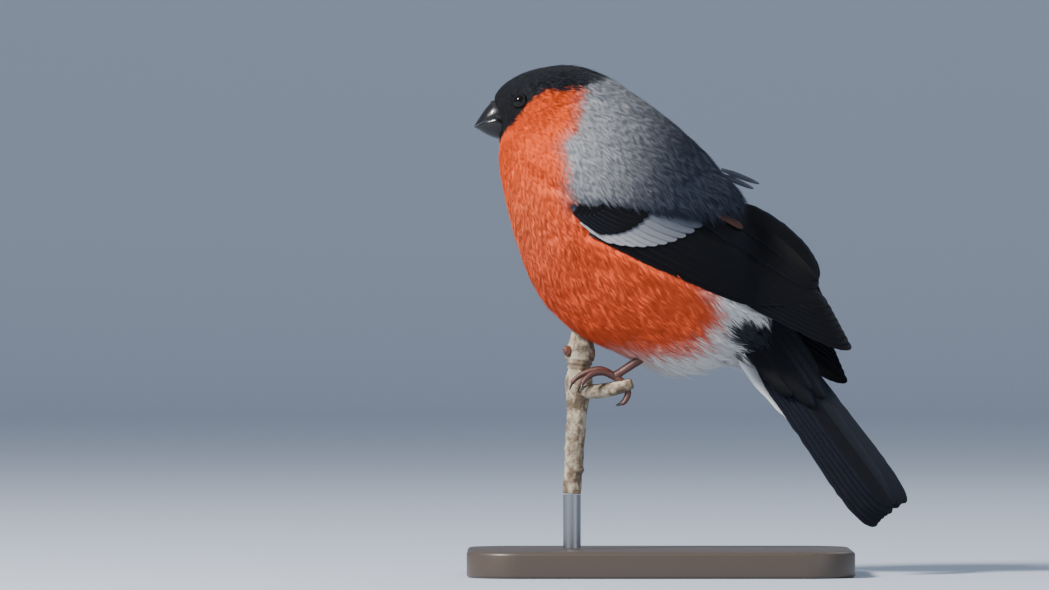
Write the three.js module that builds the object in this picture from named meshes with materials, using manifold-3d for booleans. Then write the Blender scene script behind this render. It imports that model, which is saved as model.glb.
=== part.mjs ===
// A male bullfinch as a still, life-size model, perched on a short cut twig over a plain stand.
// Millimetres, +Z up. The bird faces -X, its left side faces -Y, and the floor is z = 0.

import * as THREE from "three";
import { mergeVertices } from "three/addons/utils/BufferGeometryUtils.js";
import Module from "manifold-3d";

const wasm = await Module();
wasm.setup();

const NODE_GAP = 0.3; // clear gap between two neighbouring nodes
const MERGE = 1e-4; // corners nearer than this are one corner
const SLACK = [0.012, 0.02, 0.03, 0.05, 0.08]; // how far a surface may move to lose its slivers
const CROWDED = [0.01, 0.004, 0.0015]; // corners this near are tried as one corner
const FAR = 60; // reaches past the whole body from its middle

// Ribs of the body from the bill's root to the tail's root. Each rib runs from the back to the
// belly in the bird's middle plane: back x, back z, belly x, belly z, half width.
const RIBS = [
  [-41.1, 128.2, -39.6, 118.2, 4.3],
  [-40.2, 130.8, -39.6, 116.6, 6.6],
  [-37.2, 133.8, -39.5, 115.5, 8.9],
  [-32.4, 136.3, -39.6, 114.2, 11.2],
  [-26.2, 137.9, -39.8, 112.6, 12.8],
  [-18.9, 138.1, -39.8, 110.3, 13.9],
  [-10.5, 135.5, -39.5, 106.9, 15.2],
  [-2.0, 130.2, -38.5, 101.8, 17.8],
  [7.0, 123.5, -36.9, 95.0, 21.0],
  [16.2, 115.2, -34.6, 87.4, 23.8],
  [22.6, 107.2, -31.6, 79.6, 25.4],
  [26.6, 100.0, -27.2, 72.6, 25.6],
  [29.4, 92.4, -19.0, 65.0, 24.6],
  [31.2, 85.2, -8.2, 59.8, 22.2],
  [32.8, 78.6, 3.0, 55.0, 18.6],
  [34.0, 73.0, 12.0, 55.0, 14.4],
  [34.4, 69.0, 18.0, 57.6, 10.4],
];
const RIB_STEPS = 2; // rings from one rib to the next
const RING_SIDES = 32;
const FULLNESS = 2.15; // exponent of a rib's round, 2 is an ellipse

// Places where the body is parted, as a count of ribs from the bill.
const HEAD_PART = 5.6;
const NECK_PART = 7.4;
const PARTING = 0.012; // half the parting, in ribs

const EYE = { x: -34.2, z: 128.3, ballRadius: 2.2, opening: 1.55, lid: 0.42, proud: 1.05, lidRise: 0.18 };

const FINISH = {
  head: { color: 0x15171c, roughness: 0.45 },
  breast: { color: 0xd9532e, roughness: 0.75 },
  wing: { color: 0x14161d, roughness: 0.4 },
  bill: { color: 0x1d1c1e, roughness: 0.25 },
  eye: { color: 0x0b0806, roughness: 0.05 },
  leg: { color: 0x4d3128, roughness: 0.55 },
  bark: { color: 0x8d8271, roughness: 0.85 },
  base: { color: 0x3c3a38, roughness: 0.4 },
  rod: { color: 0x6f7174, roughness: 0.35, metalness: 0.8 },
};

// Plain solids.

function solidOf(geometry) {
  geometry.deleteAttribute("normal");
  geometry.deleteAttribute("uv");
  const merged = mergeVertices(geometry, MERGE);
  const mesh = new wasm.Mesh({
    numProp: 3,
    vertProperties: new Float32Array(merged.attributes.position.array),
    triVerts: new Uint32Array(merged.index.array),
  });
  return new wasm.Manifold(mesh);
}

// A closed solid from rings of points, each ring with as many points, capped at both ends.
function loft(rings) {
  const sides = rings[0].length;
  const positions = rings.flat().flatMap((point) => [point.x, point.y, point.z]);
  const index = [];
  for (let i = 0; i + 1 < rings.length; i += 1) {
    for (let j = 0; j < sides; j += 1) {
      const a = i * sides + j;
      const b = i * sides + ((j + 1) % sides);
      index.push(a, b, b + sides, a, b + sides, a + sides);
    }
  }
  const addCap = (ring, flip) => {
    const middle = new THREE.Vector3();
    rings[ring].forEach((point) => middle.add(point));
    middle.divideScalar(sides);
    const at = positions.length / 3;
    positions.push(middle.x, middle.y, middle.z);
    for (let j = 0; j < sides; j += 1) {
      const a = ring * sides + j;
      const b = ring * sides + ((j + 1) % sides);
      index.push(...(flip ? [at, b, a] : [at, a, b]));
    }
  };
  addCap(0, true);
  addCap(rings.length - 1, false);
  const geometry = new THREE.BufferGeometry();
  geometry.setAttribute("position", new THREE.Float32BufferAttribute(positions, 3));
  geometry.setIndex(index);
  const solid = solidOf(geometry);
  return solid.volume() > 0 ? solid : solidOf(turnedOut(geometry));
}

function turnedOut(geometry) {
  const order = geometry.index.array;
  for (let i = 0; i < order.length; i += 3) {
    [order[i], order[i + 1]] = [order[i + 1], order[i]];
  }
  return geometry;
}

function largest(solid) {
  return solid.decompose().reduce((best, piece) => (piece.volume() > best.volume() ? piece : best));
}

function geometryOf(solid) {
  const data = solid.getMesh();
  const geometry = new THREE.BufferGeometry();
  geometry.setAttribute("position", new THREE.BufferAttribute(new Float32Array(data.vertProperties), 3));
  geometry.setIndex(new THREE.BufferAttribute(new Uint32Array(data.triVerts), 1));
  return geometry;
}

// True if every edge of the merged triangles is shared by exactly two of them.
function isClosed(geometry) {
  const uses = new Map();
  const order = geometry.index.array;
  for (let i = 0; i < order.length; i += 3) {
    for (let k = 0; k < 3; k += 1) {
      const ends = [order[i + k], order[i + ((k + 1) % 3)]].sort((a, b) => a - b).join("-");
      uses.set(ends, (uses.get(ends) ?? 0) + 1);
    }
  }
  return [...uses.values()].every((count) => count === 2);
}

// The solid without slivers and crowded corners, cleaned as little as leaves it closed.
function tidy(solid) {
  for (const slack of SLACK) {
    const plain = largest(solid.simplify(slack));
    for (const reach of CROWDED) {
      const geometry = mergeVertices(geometryOf(plain), reach);
      const order = geometry.index.array;
      const kept = [];
      for (let i = 0; i < order.length; i += 3) {
        const [a, b, c] = order.slice(i, i + 3);
        if (a !== b && b !== c && c !== a) {
          kept.push(a, b, c);
        }
      }
      geometry.setIndex(kept);
      if (isClosed(geometry)) {
        return largest(solidOf(geometry));
      }
    }
  }
  return largest(solid);
}

function joined(solids) {
  return solids.reduce((whole, solid) => whole.add(solid));
}

// A round bar through a run of places, with a radius at each.
function bar(places, radii, sides = 10) {
  const rings = places.map((place, i) => {
    const before = places[Math.max(i - 1, 0)];
    const after = places[Math.min(i + 1, places.length - 1)];
    const along = after.clone().sub(before).normalize();
    const out = new THREE.Vector3(0, 1, 0).cross(along);
    if (out.length() < 0.2) {
      out.set(1, 0, 0);
    }
    out.normalize();
    const side = along.clone().cross(out).normalize();
    return Array.from({ length: sides }, (_, j) => {
      const turn = (2 * Math.PI * j) / sides;
      return place.clone()
        .addScaledVector(out, radii[i] * Math.cos(turn))
        .addScaledVector(side, radii[i] * Math.sin(turn));
    });
  });
  return loft(rings);
}

const at = (x, y, z) => new THREE.Vector3(x, y, z);

// The body.

function ribAt(count) {
  const last = RIBS.length - 1;
  const i = Math.min(Math.floor(count), last - 1);
  const t = count - i;
  const rows = [i - 1, i, i + 1, i + 2].map((row) => RIBS[Math.min(Math.max(row, 0), last)]);
  const value = (k) => {
    const [p, a, b, n] = rows.map((row) => row[k]);
    const slopeIn = (b - p) / 2;
    const slopeOut = (n - a) / 2;
    return a + t * (slopeIn + t * (3 * (b - a) - 2 * slopeIn - slopeOut
      + t * (slopeIn + slopeOut - 2 * (b - a))));
  };
  return { back: at(value(0), 0, value(1)), belly: at(value(2), 0, value(3)), half: value(4) };
}

// Round of a rib: 1 in the middle, 0 at the back and the belly.
function roundness(share) {
  return Math.pow(Math.max(1 - Math.pow(Math.abs(share), FULLNESS), 0), 1 / FULLNESS);
}

function bodyRing(count, swell) {
  const rib = ribAt(count);
  const middle = rib.back.clone().add(rib.belly).divideScalar(2);
  const up = rib.back.clone().sub(rib.belly).divideScalar(2);
  const tall = up.length();
  up.normalize();
  return Array.from({ length: RING_SIDES }, (_, j) => {
    const turn = (2 * Math.PI * j) / RING_SIDES;
    const rise = Math.sign(Math.cos(turn)) * Math.pow(Math.abs(Math.cos(turn)), 2 / FULLNESS);
    const wide = Math.sign(Math.sin(turn)) * Math.pow(Math.abs(Math.sin(turn)), 2 / FULLNESS);
    const point = middle.clone().addScaledVector(up, (tall + swell) * rise);
    point.y = (rib.half + swell) * wide;
    return point;
  });
}

function bodySolid(from, to, swell = 0) {
  const steps = Math.ceil((to - from) * RIB_STEPS);
  const rings = Array.from({ length: steps + 1 },
    (_, i) => bodyRing(from + ((to - from) * i) / steps, swell));
  return loft(rings);
}

// The torso and neck, swollen so that what is cut by it stays clear of them.
function wholeBody(swell) {
  return bodySolid(NECK_PART - 1, RIBS.length - 1, swell);
}

// Half width of the body beside a place in the middle plane, 0 outside of it.
function flank(x, z) {
  let low = 0;
  let high = RIBS.length - 1.001;
  const ahead = (count) => {
    const rib = ribAt(count);
    const along = rib.back.clone().sub(rib.belly);
    return along.x * (z - rib.belly.z) - along.z * (x - rib.belly.x);
  };
  for (let i = 0; i < 24; i += 1) {
    const middle = (low + high) / 2;
    if (ahead(middle) < 0) {
      low = middle;
    } else {
      high = middle;
    }
  }
  const rib = ribAt(low);
  const along = rib.back.clone().sub(rib.belly);
  const share = (2 * ((x - rib.belly.x) * along.x + (z - rib.belly.z) * along.z)) / along.lengthSq() - 1;
  return rib.half * roundness(share);
}

// Feather vanes.

const VANE = {
  rootShare: 0.72, widening: 0.6, // width at the root as a share, and how fast it grows
  tipSquare: 6, tipPower: 0.8, tipShare: 0.3, tipThin: 0.55, // how the tip rounds off and thins
  crowding: 1.35, // rings lie closer towards the tip
  shaft: 1.15, // height over the shaft as a share of the thickness
};

// A thin vane along a curved sheet. `place(along, across, lift)` gives the point of the sheet.
// The outline narrows to the root and is rounded at the tip.
function vane(place, { from, to, steps = 5, width, thickness, tipRound = 0.5, tilt = 0, bow = 0 }) {
  const rings = [];
  for (let i = 0; i <= steps; i += 1) {
    const t = i / steps;
    const shareAlong = 1 - Math.pow(1 - t, VANE.crowding);
    const aside = 4 * bow * shareAlong * (1 - shareAlong);
    const middle = [
      from[0] + (to[0] - from[0]) * shareAlong,
      from[1] + (to[1] - from[1]) * shareAlong + aside,
    ];
    const widening = Math.min(1, VANE.rootShare + VANE.widening * shareAlong);
    const rounding = Math.pow(1 - Math.pow(shareAlong, VANE.tipSquare) * tipRound, VANE.tipPower);
    const narrow = i === steps ? VANE.tipShare : widening * rounding;
    const direction = [to[0] - from[0], to[1] - from[1]];
    const size = Math.hypot(...direction);
    const normal = [-direction[1] / size, direction[0] / size];
    const half = (width / 2) * narrow;
    const thin = i === steps ? VANE.tipThin : 1;
    const corner = (side, lift) => place(
      middle[0] + normal[0] * half * side,
      middle[1] + normal[1] * half * side,
      lift + tilt * side,
    );
    rings.push([
      corner(-1, 0), corner(1, 0), corner(1, thickness * thin), corner(0, thickness * thin * VANE.shaft),
      corner(-1, thickness * thin),
    ]);
  }
  return loft(rings);
}

// The wing.

// The folded wing is drawn in its own plane: along from the wrist to the tip, across upwards.
const WING = {
  near: { x: -20.0, z: 100.5, slope: -0.471 },
  far: { x: -16.8, z: 97.7, slope: -0.558 },
  length: 84.5,
  bedInner: 0.5, bedThick: 1.3, vane: 0.7, vaneTilt: 0.12,
  tipOut: 9.5, tipSpread: 0.1, leanIn: 0.42, // how the free end stands off the middle plane
  blend: 3, blendShare: 0.25, // softens the change from the flank to the free end
};

const wristOf = (side) => (side < 0 ? WING.near : WING.far);

function wingPlace(side, along, across) {
  const wrist = wristOf(side);
  const cos = Math.cos(wrist.slope);
  const sin = Math.sin(wrist.slope);
  return { x: wrist.x + along * cos - across * sin, z: wrist.z + along * sin + across * cos };
}

// How far out from the middle plane the wing's inner face lies: it hugs the body, and past the
// body it runs on as a sheet that leans in to the back and to the tip.
function wingOut(side, along, across) {
  const { x, z } = wingPlace(side, along, across);
  const free = WING.tipOut + (WING.length - along) * WING.tipSpread - WING.leanIn * across;
  const hug = flank(x, z) - WING.bedInner;
  const nearer = Math.exp(-Math.abs(free - hug) / WING.blend);
  return Math.max(free, hug) + WING.blend * nearer * WING.blendShare;
}

function wingSheet(side) {
  return (along, across, lift) => {
    const { x, z } = wingPlace(side, along, across);
    return at(x, side * (wingOut(side, along, across) + lift), z);
  };
}

// Outline of the bed: along, lower edge, upper edge. The grey shoulder feathers lie above it.
const BED = [
  [-1.5, -1.0, 1.6], [2, -3.2, 4.0], [8, -4.6, 6.6], [16, -5.0, 8.4], [24, -5.0, 9.2], [31, -5.0, 10.2],
  [36, -4.8, 15.0], [40, -4.4, 20.4], [47, -3.8, 20.8], [54, -3.0, 18.8],
];
const BED_ACROSS = 7;

function sheetSolid(rows, innerOf, outerOf, grow) {
  const rings = rows.map(([along, low, high], i) => {
    const push = i === 0 ? -grow : i === rows.length - 1 ? grow : 0;
    const across = (k) => low - grow + ((high - low + 2 * grow) * k) / BED_ACROSS;
    const inner = Array.from({ length: BED_ACROSS + 1 }, (_, k) => innerOf(along + push, across(k)));
    const outer = Array.from({ length: BED_ACROSS + 1 },
      (_, k) => outerOf(along + push, across(BED_ACROSS - k)));
    return [...inner, ...outer];
  });
  return loft(rings);
}

function wingBed(side) {
  const sheet = wingSheet(side);
  return sheetSolid(BED, (a, b) => sheet(a, b, 0), (a, b) => sheet(a, b, WING.bedThick), 0);
}

// The room that the wing takes out of the body, with the gap.
function wingRoom(side, gap) {
  const sheet = wingSheet(side);
  const outer = (a, b) => {
    const { x, z } = wingPlace(side, a, b);
    return at(x, side * FAR, z);
  };
  return sheetSolid(BED, (a, b) => sheet(a, b, -gap), outer, gap);
}

// One row of vanes: how many, and where the first and the last one start and end, in the wing's
// plane. `lift` raises the row, `rise` each vane over the one before, `bow` bends the last one.
const ROWS = [
  // primaries
  {
    count: 7, first: [44, -0.6, 85.0, -0.8], last: [42, 7.0, 76, 5.4],
    width: 5.6, lift: 0.1, rise: 0.2, bow: 0, steps: 5,
  },
  // secondaries
  {
    count: 6, first: [20, -2.6, 58, -1.0], last: [26, 8, 74.2, 6.6],
    width: 6.4, lift: 0.75, rise: 0.14, bow: 0.6, steps: 5,
  },
  // tertials
  {
    count: 3, first: [27, 9.0, 70.2, 8.4], last: [34, 16.5, 68.8, 12.0],
    width: 7.8, lift: 1.25, rise: 0.25, bow: 3.2, steps: 5,
  },
  // greater coverts, the pale bar
  {
    count: 7, first: [6, -2.0, 17, -4.0], last: [22, 6.0, 33.5, 7.8],
    width: 4.8, lift: 1.25, rise: 0.1, bow: 0, steps: 3,
  },
  // median coverts, the dark shoulder patch
  {
    count: 6, first: [2, -1.0, 12.5, -3.2], last: [11, 4.4, 21.5, 7.2],
    width: 4.6, lift: 1.55, rise: 0.1, bow: 0, steps: 3,
  },
];

function wing(side) {
  const sheet = wingSheet(side);
  const parts = [wingBed(side)];
  ROWS.forEach((row) => {
    for (let i = 0; i < row.count; i += 1) {
      const t = i / (row.count - 1);
      const [a, b, c, d] = row.first.map((value, k) => value + (row.last[k] - value) * t);
      parts.push(vane(sheet, {
        from: [a, b], to: [c, d], width: row.width, thickness: WING.vane,
        tilt: WING.vaneTilt, steps: row.steps, bow: row.bow * t,
      }).translate([0, side * (row.lift + row.rise * i), 0]));
    }
  });
  const flesh = wholeBody(NODE_GAP).subtract(wingRoom(side, 0));
  return tidy(joined(parts).subtract(flesh));
}

// The tail.

const TAIL = {
  rootX: 28.0, rootZ: 69.8, tipX: 66.8, tipZ: 16.6, roll: 0.8, rows: 6,
  width: 9.2, rootSpread: 9.0, tipSpread: 13.6, middleSpread: 0.8, vane: 0.7, step: 0.42,
  tilt: 0.1, tipRound: 0.35, arch: 0.012, pairShift: 0.16,
  notch: 2.2, middleShort: 1.6, // how much the feathers between and the middle pair are shorter
};

// Covert lobes over the root, from the outer ones to the middle: side, spread and reach.
const UPPER_COVERTS = {
  lobes: [[-1, 6.5, 24], [1, 6.5, 24], [-1, 2.6, 30], [1, 2.6, 30], [0, 0, 26]],
  start: -1, rootShare: 0.6, width: 8.5, thickness: 1.0, tipRound: 0.6, step: 0.1,
};

// White coverts under the root: side and reach.
const UNDER_COVERTS = {
  lobes: [[-1, 34], [1, 30], [0, 36]],
  start: -1, rootSpread: 6, tipSpread: 5.6, width: 11, thickness: 1.4, tipRound: 0.8, lift: -1.1, step: -0.2,
};

function tailSheet(point) {
  const along = at(TAIL.tipX - TAIL.rootX, 0, TAIL.tipZ - TAIL.rootZ).normalize();
  const upper = at(-along.z, 0, along.x);
  const across = at(0, Math.cos(TAIL.roll), 0).addScaledVector(upper, Math.sin(TAIL.roll));
  const out = upper.clone().multiplyScalar(Math.cos(TAIL.roll))
    .addScaledVector(at(0, 1, 0), -Math.sin(TAIL.roll));
  return (a, b, lift) => point.clone().addScaledVector(along, a).addScaledVector(across, b)
    .addScaledVector(out, lift - TAIL.arch * b * b);
}

function tail() {
  const length = Math.hypot(TAIL.tipX - TAIL.rootX, TAIL.tipZ - TAIL.rootZ);
  const sheet = tailSheet(at(TAIL.rootX, 0, TAIL.rootZ));
  const parts = [];
  for (let i = 0; i < TAIL.rows; i += 1) {
    const share = (TAIL.rows - 1 - i) / (TAIL.rows - 1);
    const short = TAIL.notch * share * (1 - share) + (i === TAIL.rows - 1 ? TAIL.middleShort : 0);
    for (const side of [-1, 1]) {
      parts.push(vane(sheet, {
        from: [0, (side * TAIL.rootSpread * share) / 2],
        to: [length - short, (side * (TAIL.middleSpread + TAIL.tipSpread * share)) / 2],
        width: TAIL.width, thickness: TAIL.vane, tilt: TAIL.tilt * side, tipRound: TAIL.tipRound,
      }).translate(sheetLift(TAIL.step * i + (side > 0 ? TAIL.pairShift : 0))));
    }
  }
  const upper = UPPER_COVERTS;
  upper.lobes.forEach(([side, spread, reach], i) => {
    parts.push(vane(sheet, {
      from: [upper.start, side * spread * upper.rootShare], to: [reach, side * spread],
      width: upper.width, thickness: upper.thickness, tipRound: upper.tipRound, steps: 4,
    }).translate(sheetLift(TAIL.step * TAIL.rows + upper.step * i)));
  });
  const under = UNDER_COVERTS;
  under.lobes.forEach(([side, reach], i) => {
    parts.push(vane(sheet, {
      from: [under.start, side * under.rootSpread], to: [reach, side * under.tipSpread],
      width: under.width, thickness: under.thickness, tipRound: under.tipRound, steps: 4,
    }).translate(sheetLift(under.lift + under.step * i)));
  });
  return tidy(joined(parts).subtract(wholeBody(NODE_GAP)));
}

function sheetLift(amount) {
  const zero = tailSheet(at(0, 0, 0))(0, 0, amount);
  return [zero.x, zero.y, zero.z];
}

// Head details.

function eyeMiddle(side) {
  return at(EYE.x, side * (flank(EYE.x, EYE.z) - EYE.ballRadius + EYE.proud), EYE.z);
}

function eyeAxis(side) {
  const step = 0.5;
  const dx = (flank(EYE.x + step, EYE.z) - flank(EYE.x - step, EYE.z)) / (2 * step);
  const dz = (flank(EYE.x, EYE.z + step) - flank(EYE.x, EYE.z - step)) / (2 * step);
  return at(-dx, side, -dz).normalize();
}

function ball(radius, place, sides = 20) {
  return solidOf(new THREE.SphereGeometry(radius, sides, Math.round(sides * 0.6)).translate(...place));
}

function lidRing(side) {
  const axis = eyeAxis(side);
  const middle = eyeMiddle(side).addScaledVector(axis, EYE.ballRadius * 0.62 + EYE.lidRise);
  const ring = solidOf(new THREE.TorusGeometry(EYE.opening + EYE.lid * 0.9, EYE.lid, 8, 22)
    .applyQuaternion(new THREE.Quaternion().setFromUnitVectors(at(0, 0, 1), axis))
    .translate(middle.x, middle.y, middle.z));
  return ring;
}

function head() {
  let solid = bodySolid(0, HEAD_PART - 0.001).add(billSeat());
  for (const side of [-1, 1]) {
    solid = solid.add(lidRing(side)).subtract(ball(EYE.ballRadius + NODE_GAP, eyeMiddle(side)));
  }
  return tidy(solid.subtract(billRoom()));
}

// The feathered seat of the bill, a short forward swelling of the face.
function billSeat() {
  return ball(4.4, at(-38.9, 0, 123.6), 22);
}

// The bill is one stout cone, parted at the mouth line.
const BILL_RINGS = [
  // x of the ring, top z, bottom z, half width
  [-37.2, 128.6, 117.6, 4.5], [-39.6, 128.5, 117.5, 4.5], [-41.2, 127.9, 118.0, 4.2],
  [-42.6, 126.5, 118.6, 3.7], [-43.8, 124.9, 119.3, 3.0], [-44.9, 123.2, 120.1, 2.0],
  [-45.7, 121.9, 120.6, 1.0], [-46.1, 121.3, 120.8, 0.35],
];

function billSolid(swell) {
  return loft(BILL_RINGS.map(([x, top, bottom, half], i) => Array.from({ length: 20 }, (_, j) => {
    const turn = (2 * Math.PI * j) / 20;
    return at(x + (i === 0 ? swell : -swell * 0.3), (half + swell) * Math.sin(turn),
      (top + bottom) / 2 + ((top - bottom) / 2 + swell) * Math.cos(turn));
  })));
}

// Everything below the mouth line, which drops a little to the tip and is angled down at the gape.
function underMouth(shift) {
  const line = [[-60, 118.3], [-46.4, 121.0], [-43.6, 122.3], [-40.2, 123.4], [-37.6, 122.2], [-20, 117.0]];
  const ring = (y) => [...line.map(([x, z]) => at(x, y, z + shift)), at(-20, y, 90), at(-60, y, 90)];
  return loft([ring(-12), ring(12)]);
}

function bill(upper) {
  const whole = billSolid(0);
  if (!upper) {
    return tidy(whole.intersect(underMouth(-NODE_GAP / 2)));
  }
  let solid = whole.subtract(underMouth(NODE_GAP / 2));
  for (const side of [-1, 1]) {
    solid = solid.subtract(ball(0.42, at(-40.6, side * 3.15, 126.6), 12));
  }
  return tidy(solid);
}

function billRoom() {
  const plug = billSolid(NODE_GAP);
  const front = solidOf(new THREE.BoxGeometry(30, 40, 60).translate(-41.3 - 15, 0, 123));
  return plug.add(front);
}

// Legs and feet.

const LEG = {
  ankleX: -8.2, ankleZ: 53.6, kneeX: 2.8, kneeZ: 61.0, y: 7.0,
  tarsus: 1.0, thickening: [1, 1, 1.3, 1.9],
};

const TOES = [
  // reach outwards, then how the toe bends over the stub: x, z offsets of its joints
  { spread: -1.6, joints: [[0, 0], [-3.0, 1.2], [-6.2, 0.6], [-8.8, -1.6], [-9.9, -4.0]] },
  { spread: 0.2, joints: [[0, 0], [-3.4, 1.8], [-7.2, 1.3], [-10.6, -0.6], [-12.2, -3.4]] },
  { spread: 2.2, joints: [[0, 0], [-2.8, 1.2], [-5.8, 0.9], [-8.2, -1.0], [-9.2, -3.4]] },
  { spread: 0.6, joints: [[0, 0], [2.4, -1.8], [3.6, -4.4], [2.6, -6.8], [0.6, -7.8]] },
];

const TOE_RADII = [0.95, 0.95, 0.85, 0.6, 0.14]; // from the ankle to the claw's point
const ANKLE_RADIUS = 1.35;

function leg(side) {
  const whole = bar(
    [at(LEG.ankleX, side * LEG.y, LEG.ankleZ), at(LEG.kneeX - 3, side * LEG.y, LEG.kneeZ - 2.2),
      at(LEG.kneeX, side * LEG.y, LEG.kneeZ), at(LEG.kneeX + 5, side * (LEG.y + 0.5), LEG.kneeZ + 4.5)],
    LEG.thickening.map((factor) => LEG.tarsus * factor),
  );
  const free = whole.subtract(wholeBody(NODE_GAP)).subtract(ball(ANKLE_RADIUS + NODE_GAP, ankle(side), 12));
  return tidy(free);
}

function ankle(side) {
  return at(LEG.ankleX, side * LEG.y, LEG.ankleZ);
}

function foot(side) {
  const parts = [ball(ANKLE_RADIUS, ankle(side), 12)];
  TOES.forEach((toe) => {
    const places = toe.joints.map(([x, z], i) => (
      at(LEG.ankleX + x, side * (LEG.y + (toe.spread * i) / 2), LEG.ankleZ + z)));
    parts.push(bar(places, TOE_RADII, 8));
  });
  return tidy(joined(parts).subtract(twig(NODE_GAP)));
}

// The perch and the stand.

const TWIG = { x: -18.0, lean: 0.06, level: 50, bottom: 22, top: 66.5, stubZ: 50.4 };
const TWIG_LEVELS = [
  // height, radius
  [TWIG.bottom, 2.4], [34, 2.5], [45, 2.7], [49.5, 3.5], [52.5, 3.6], [55, 3.1], [57, 3.3], [59, 3.9],
  [61, 3.9], [63.5, 3.1], [TWIG.top, 2.7],
];
const STUB = [
  // how far behind the twig, how far aside, height over stubZ, radius
  [0, 0.5, -0.8, 2.0], [5, 4.6, -0.8, 1.9], [10, 7.4, 0, 1.8], [14.5, 8.4, 1.4, 1.3],
];
const BUD = { ahead: -2.6, side: -2.2, z: 60.2, radius: 1.7 };
const STAND = { x: 4, width: 104, depth: 74, height: 7, round: 14, rod: 2.4 };

function twig(swell) {
  const places = TWIG_LEVELS.map(([z]) => at(TWIG.x + TWIG.lean * (z - TWIG.level), 0, z));
  const parts = [bar(places, TWIG_LEVELS.map(([, radius]) => radius + swell), 16)];
  for (const side of [-1, 1]) {
    const run = STUB.map(([back, aside, rise]) => at(TWIG.x + back, side * aside, TWIG.stubZ + rise));
    parts.push(bar(run, STUB.map(([, , , radius]) => radius + swell), 12));
  }
  parts.push(ball(BUD.radius + swell, at(TWIG.x + BUD.ahead, BUD.side, BUD.z), 14));
  return tidy(joined(parts).subtract(wholeBody(NODE_GAP)));
}

function standBase() {
  const shape = new THREE.Shape();
  const w = STAND.width / 2;
  const d = STAND.depth / 2;
  const r = STAND.round;
  shape.moveTo(-w + r, -d);
  shape.lineTo(w - r, -d);
  shape.absarc(w - r, -d + r, r, -Math.PI / 2, 0);
  shape.lineTo(w, d - r);
  shape.absarc(w - r, d - r, r, 0, Math.PI / 2);
  shape.lineTo(-w + r, d);
  shape.absarc(-w + r, d - r, r, Math.PI / 2, Math.PI);
  shape.lineTo(-w, -d + r);
  shape.absarc(-w + r, -d + r, r, Math.PI, 1.5 * Math.PI);
  const slab = new THREE.ExtrudeGeometry(shape, {
    depth: STAND.height, bevelEnabled: false, curveSegments: 10,
  });
  return solidOf(slab.translate(STAND.x, 0, 0));
}

function standRod() {
  const x = TWIG.x + TWIG.lean * (TWIG.bottom - TWIG.level);
  const ends = [at(x, 0, STAND.height + NODE_GAP), at(x, 0, TWIG.bottom - NODE_GAP)];
  return bar(ends, [STAND.rod, STAND.rod], 20);
}

// The whole.

function meshOf(name, solid, finish) {
  const material = new THREE.MeshStandardMaterial({
    color: finish.color, roughness: finish.roughness, metalness: finish.metalness ?? 0,
  });
  const mesh = new THREE.Mesh(geometryOf(solid), material);
  mesh.name = name;
  return mesh;
}

function build() {
  const group = new THREE.Group();
  const add = (name, solid, finish) => group.add(meshOf(name, solid, finish));
  const tailSolid = tail();
  const legs = [-1, 1].map(leg);

  let torso = bodySolid(NECK_PART, RIBS.length - 1);
  for (const side of [-1, 1]) {
    torso = torso.subtract(wingRoom(side, NODE_GAP));
  }
  const neck = bodySolid(HEAD_PART + PARTING, NECK_PART - PARTING);
  add("head", head(), FINISH.head);
  add("neck", neck, FINISH.breast);
  add("torso", tidy(torso), FINISH.breast);
  add("tail", tailSolid, FINISH.wing);
  add("wing_left", wing(-1), FINISH.wing);
  add("wing_right", wing(1), FINISH.wing);
  add("bill_upper", bill(true), FINISH.bill);
  add("bill_lower", bill(false), FINISH.bill);
  add("eye_left", ball(EYE.ballRadius, eyeMiddle(-1)), FINISH.eye);
  add("eye_right", ball(EYE.ballRadius, eyeMiddle(1)), FINISH.eye);
  add("leg_left", legs[0], FINISH.leg);
  add("leg_right", legs[1], FINISH.leg);
  add("foot_left", foot(-1), FINISH.leg);
  add("foot_right", foot(1), FINISH.leg);
  add("perch", twig(0), FINISH.bark);
  add("stand_rod", standRod(), FINISH.rod);
  add("stand_base", standBase(), FINISH.base);
  // The origin is under the middle of the whole model.
  const middle = new THREE.Box3().setFromObject(group).getCenter(at(0, 0, 0));
  group.position.set(-middle.x, -middle.y, 0);
  return group;
}

export default build();
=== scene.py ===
"""A male bullfinch as a still, life-size model: soft feather coat, vaned wings and tail, twig and stand.

The bird is drawn in millimetres in its own frame, facing -X with its left side at -Y, and every
mesh is moved and scaled to the shared frame in metres as it is made.
"""

import logging
import math
from dataclasses import dataclass, field
from enum import Enum
from typing import Callable

import bmesh
import bpy
import numpy as np
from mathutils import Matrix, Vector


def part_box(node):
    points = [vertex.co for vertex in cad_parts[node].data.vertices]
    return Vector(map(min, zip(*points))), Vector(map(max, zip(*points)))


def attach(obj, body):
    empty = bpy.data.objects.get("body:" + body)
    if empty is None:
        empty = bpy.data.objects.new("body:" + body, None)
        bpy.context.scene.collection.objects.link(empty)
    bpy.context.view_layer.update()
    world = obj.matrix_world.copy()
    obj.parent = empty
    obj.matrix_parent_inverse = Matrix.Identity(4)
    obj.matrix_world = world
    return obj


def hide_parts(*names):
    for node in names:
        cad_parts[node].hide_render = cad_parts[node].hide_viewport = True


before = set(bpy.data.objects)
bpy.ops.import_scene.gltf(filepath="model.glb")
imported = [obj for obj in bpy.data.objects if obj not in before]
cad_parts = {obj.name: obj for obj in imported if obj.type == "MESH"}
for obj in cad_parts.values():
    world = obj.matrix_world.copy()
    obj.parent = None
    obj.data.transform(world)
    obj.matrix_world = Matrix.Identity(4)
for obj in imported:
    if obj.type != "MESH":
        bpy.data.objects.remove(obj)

LOG = logging.getLogger("bullfinch")
MM = 0.001
SEED = 7
FULL_TURN = 2 * math.pi


# Small mathematics


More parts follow.
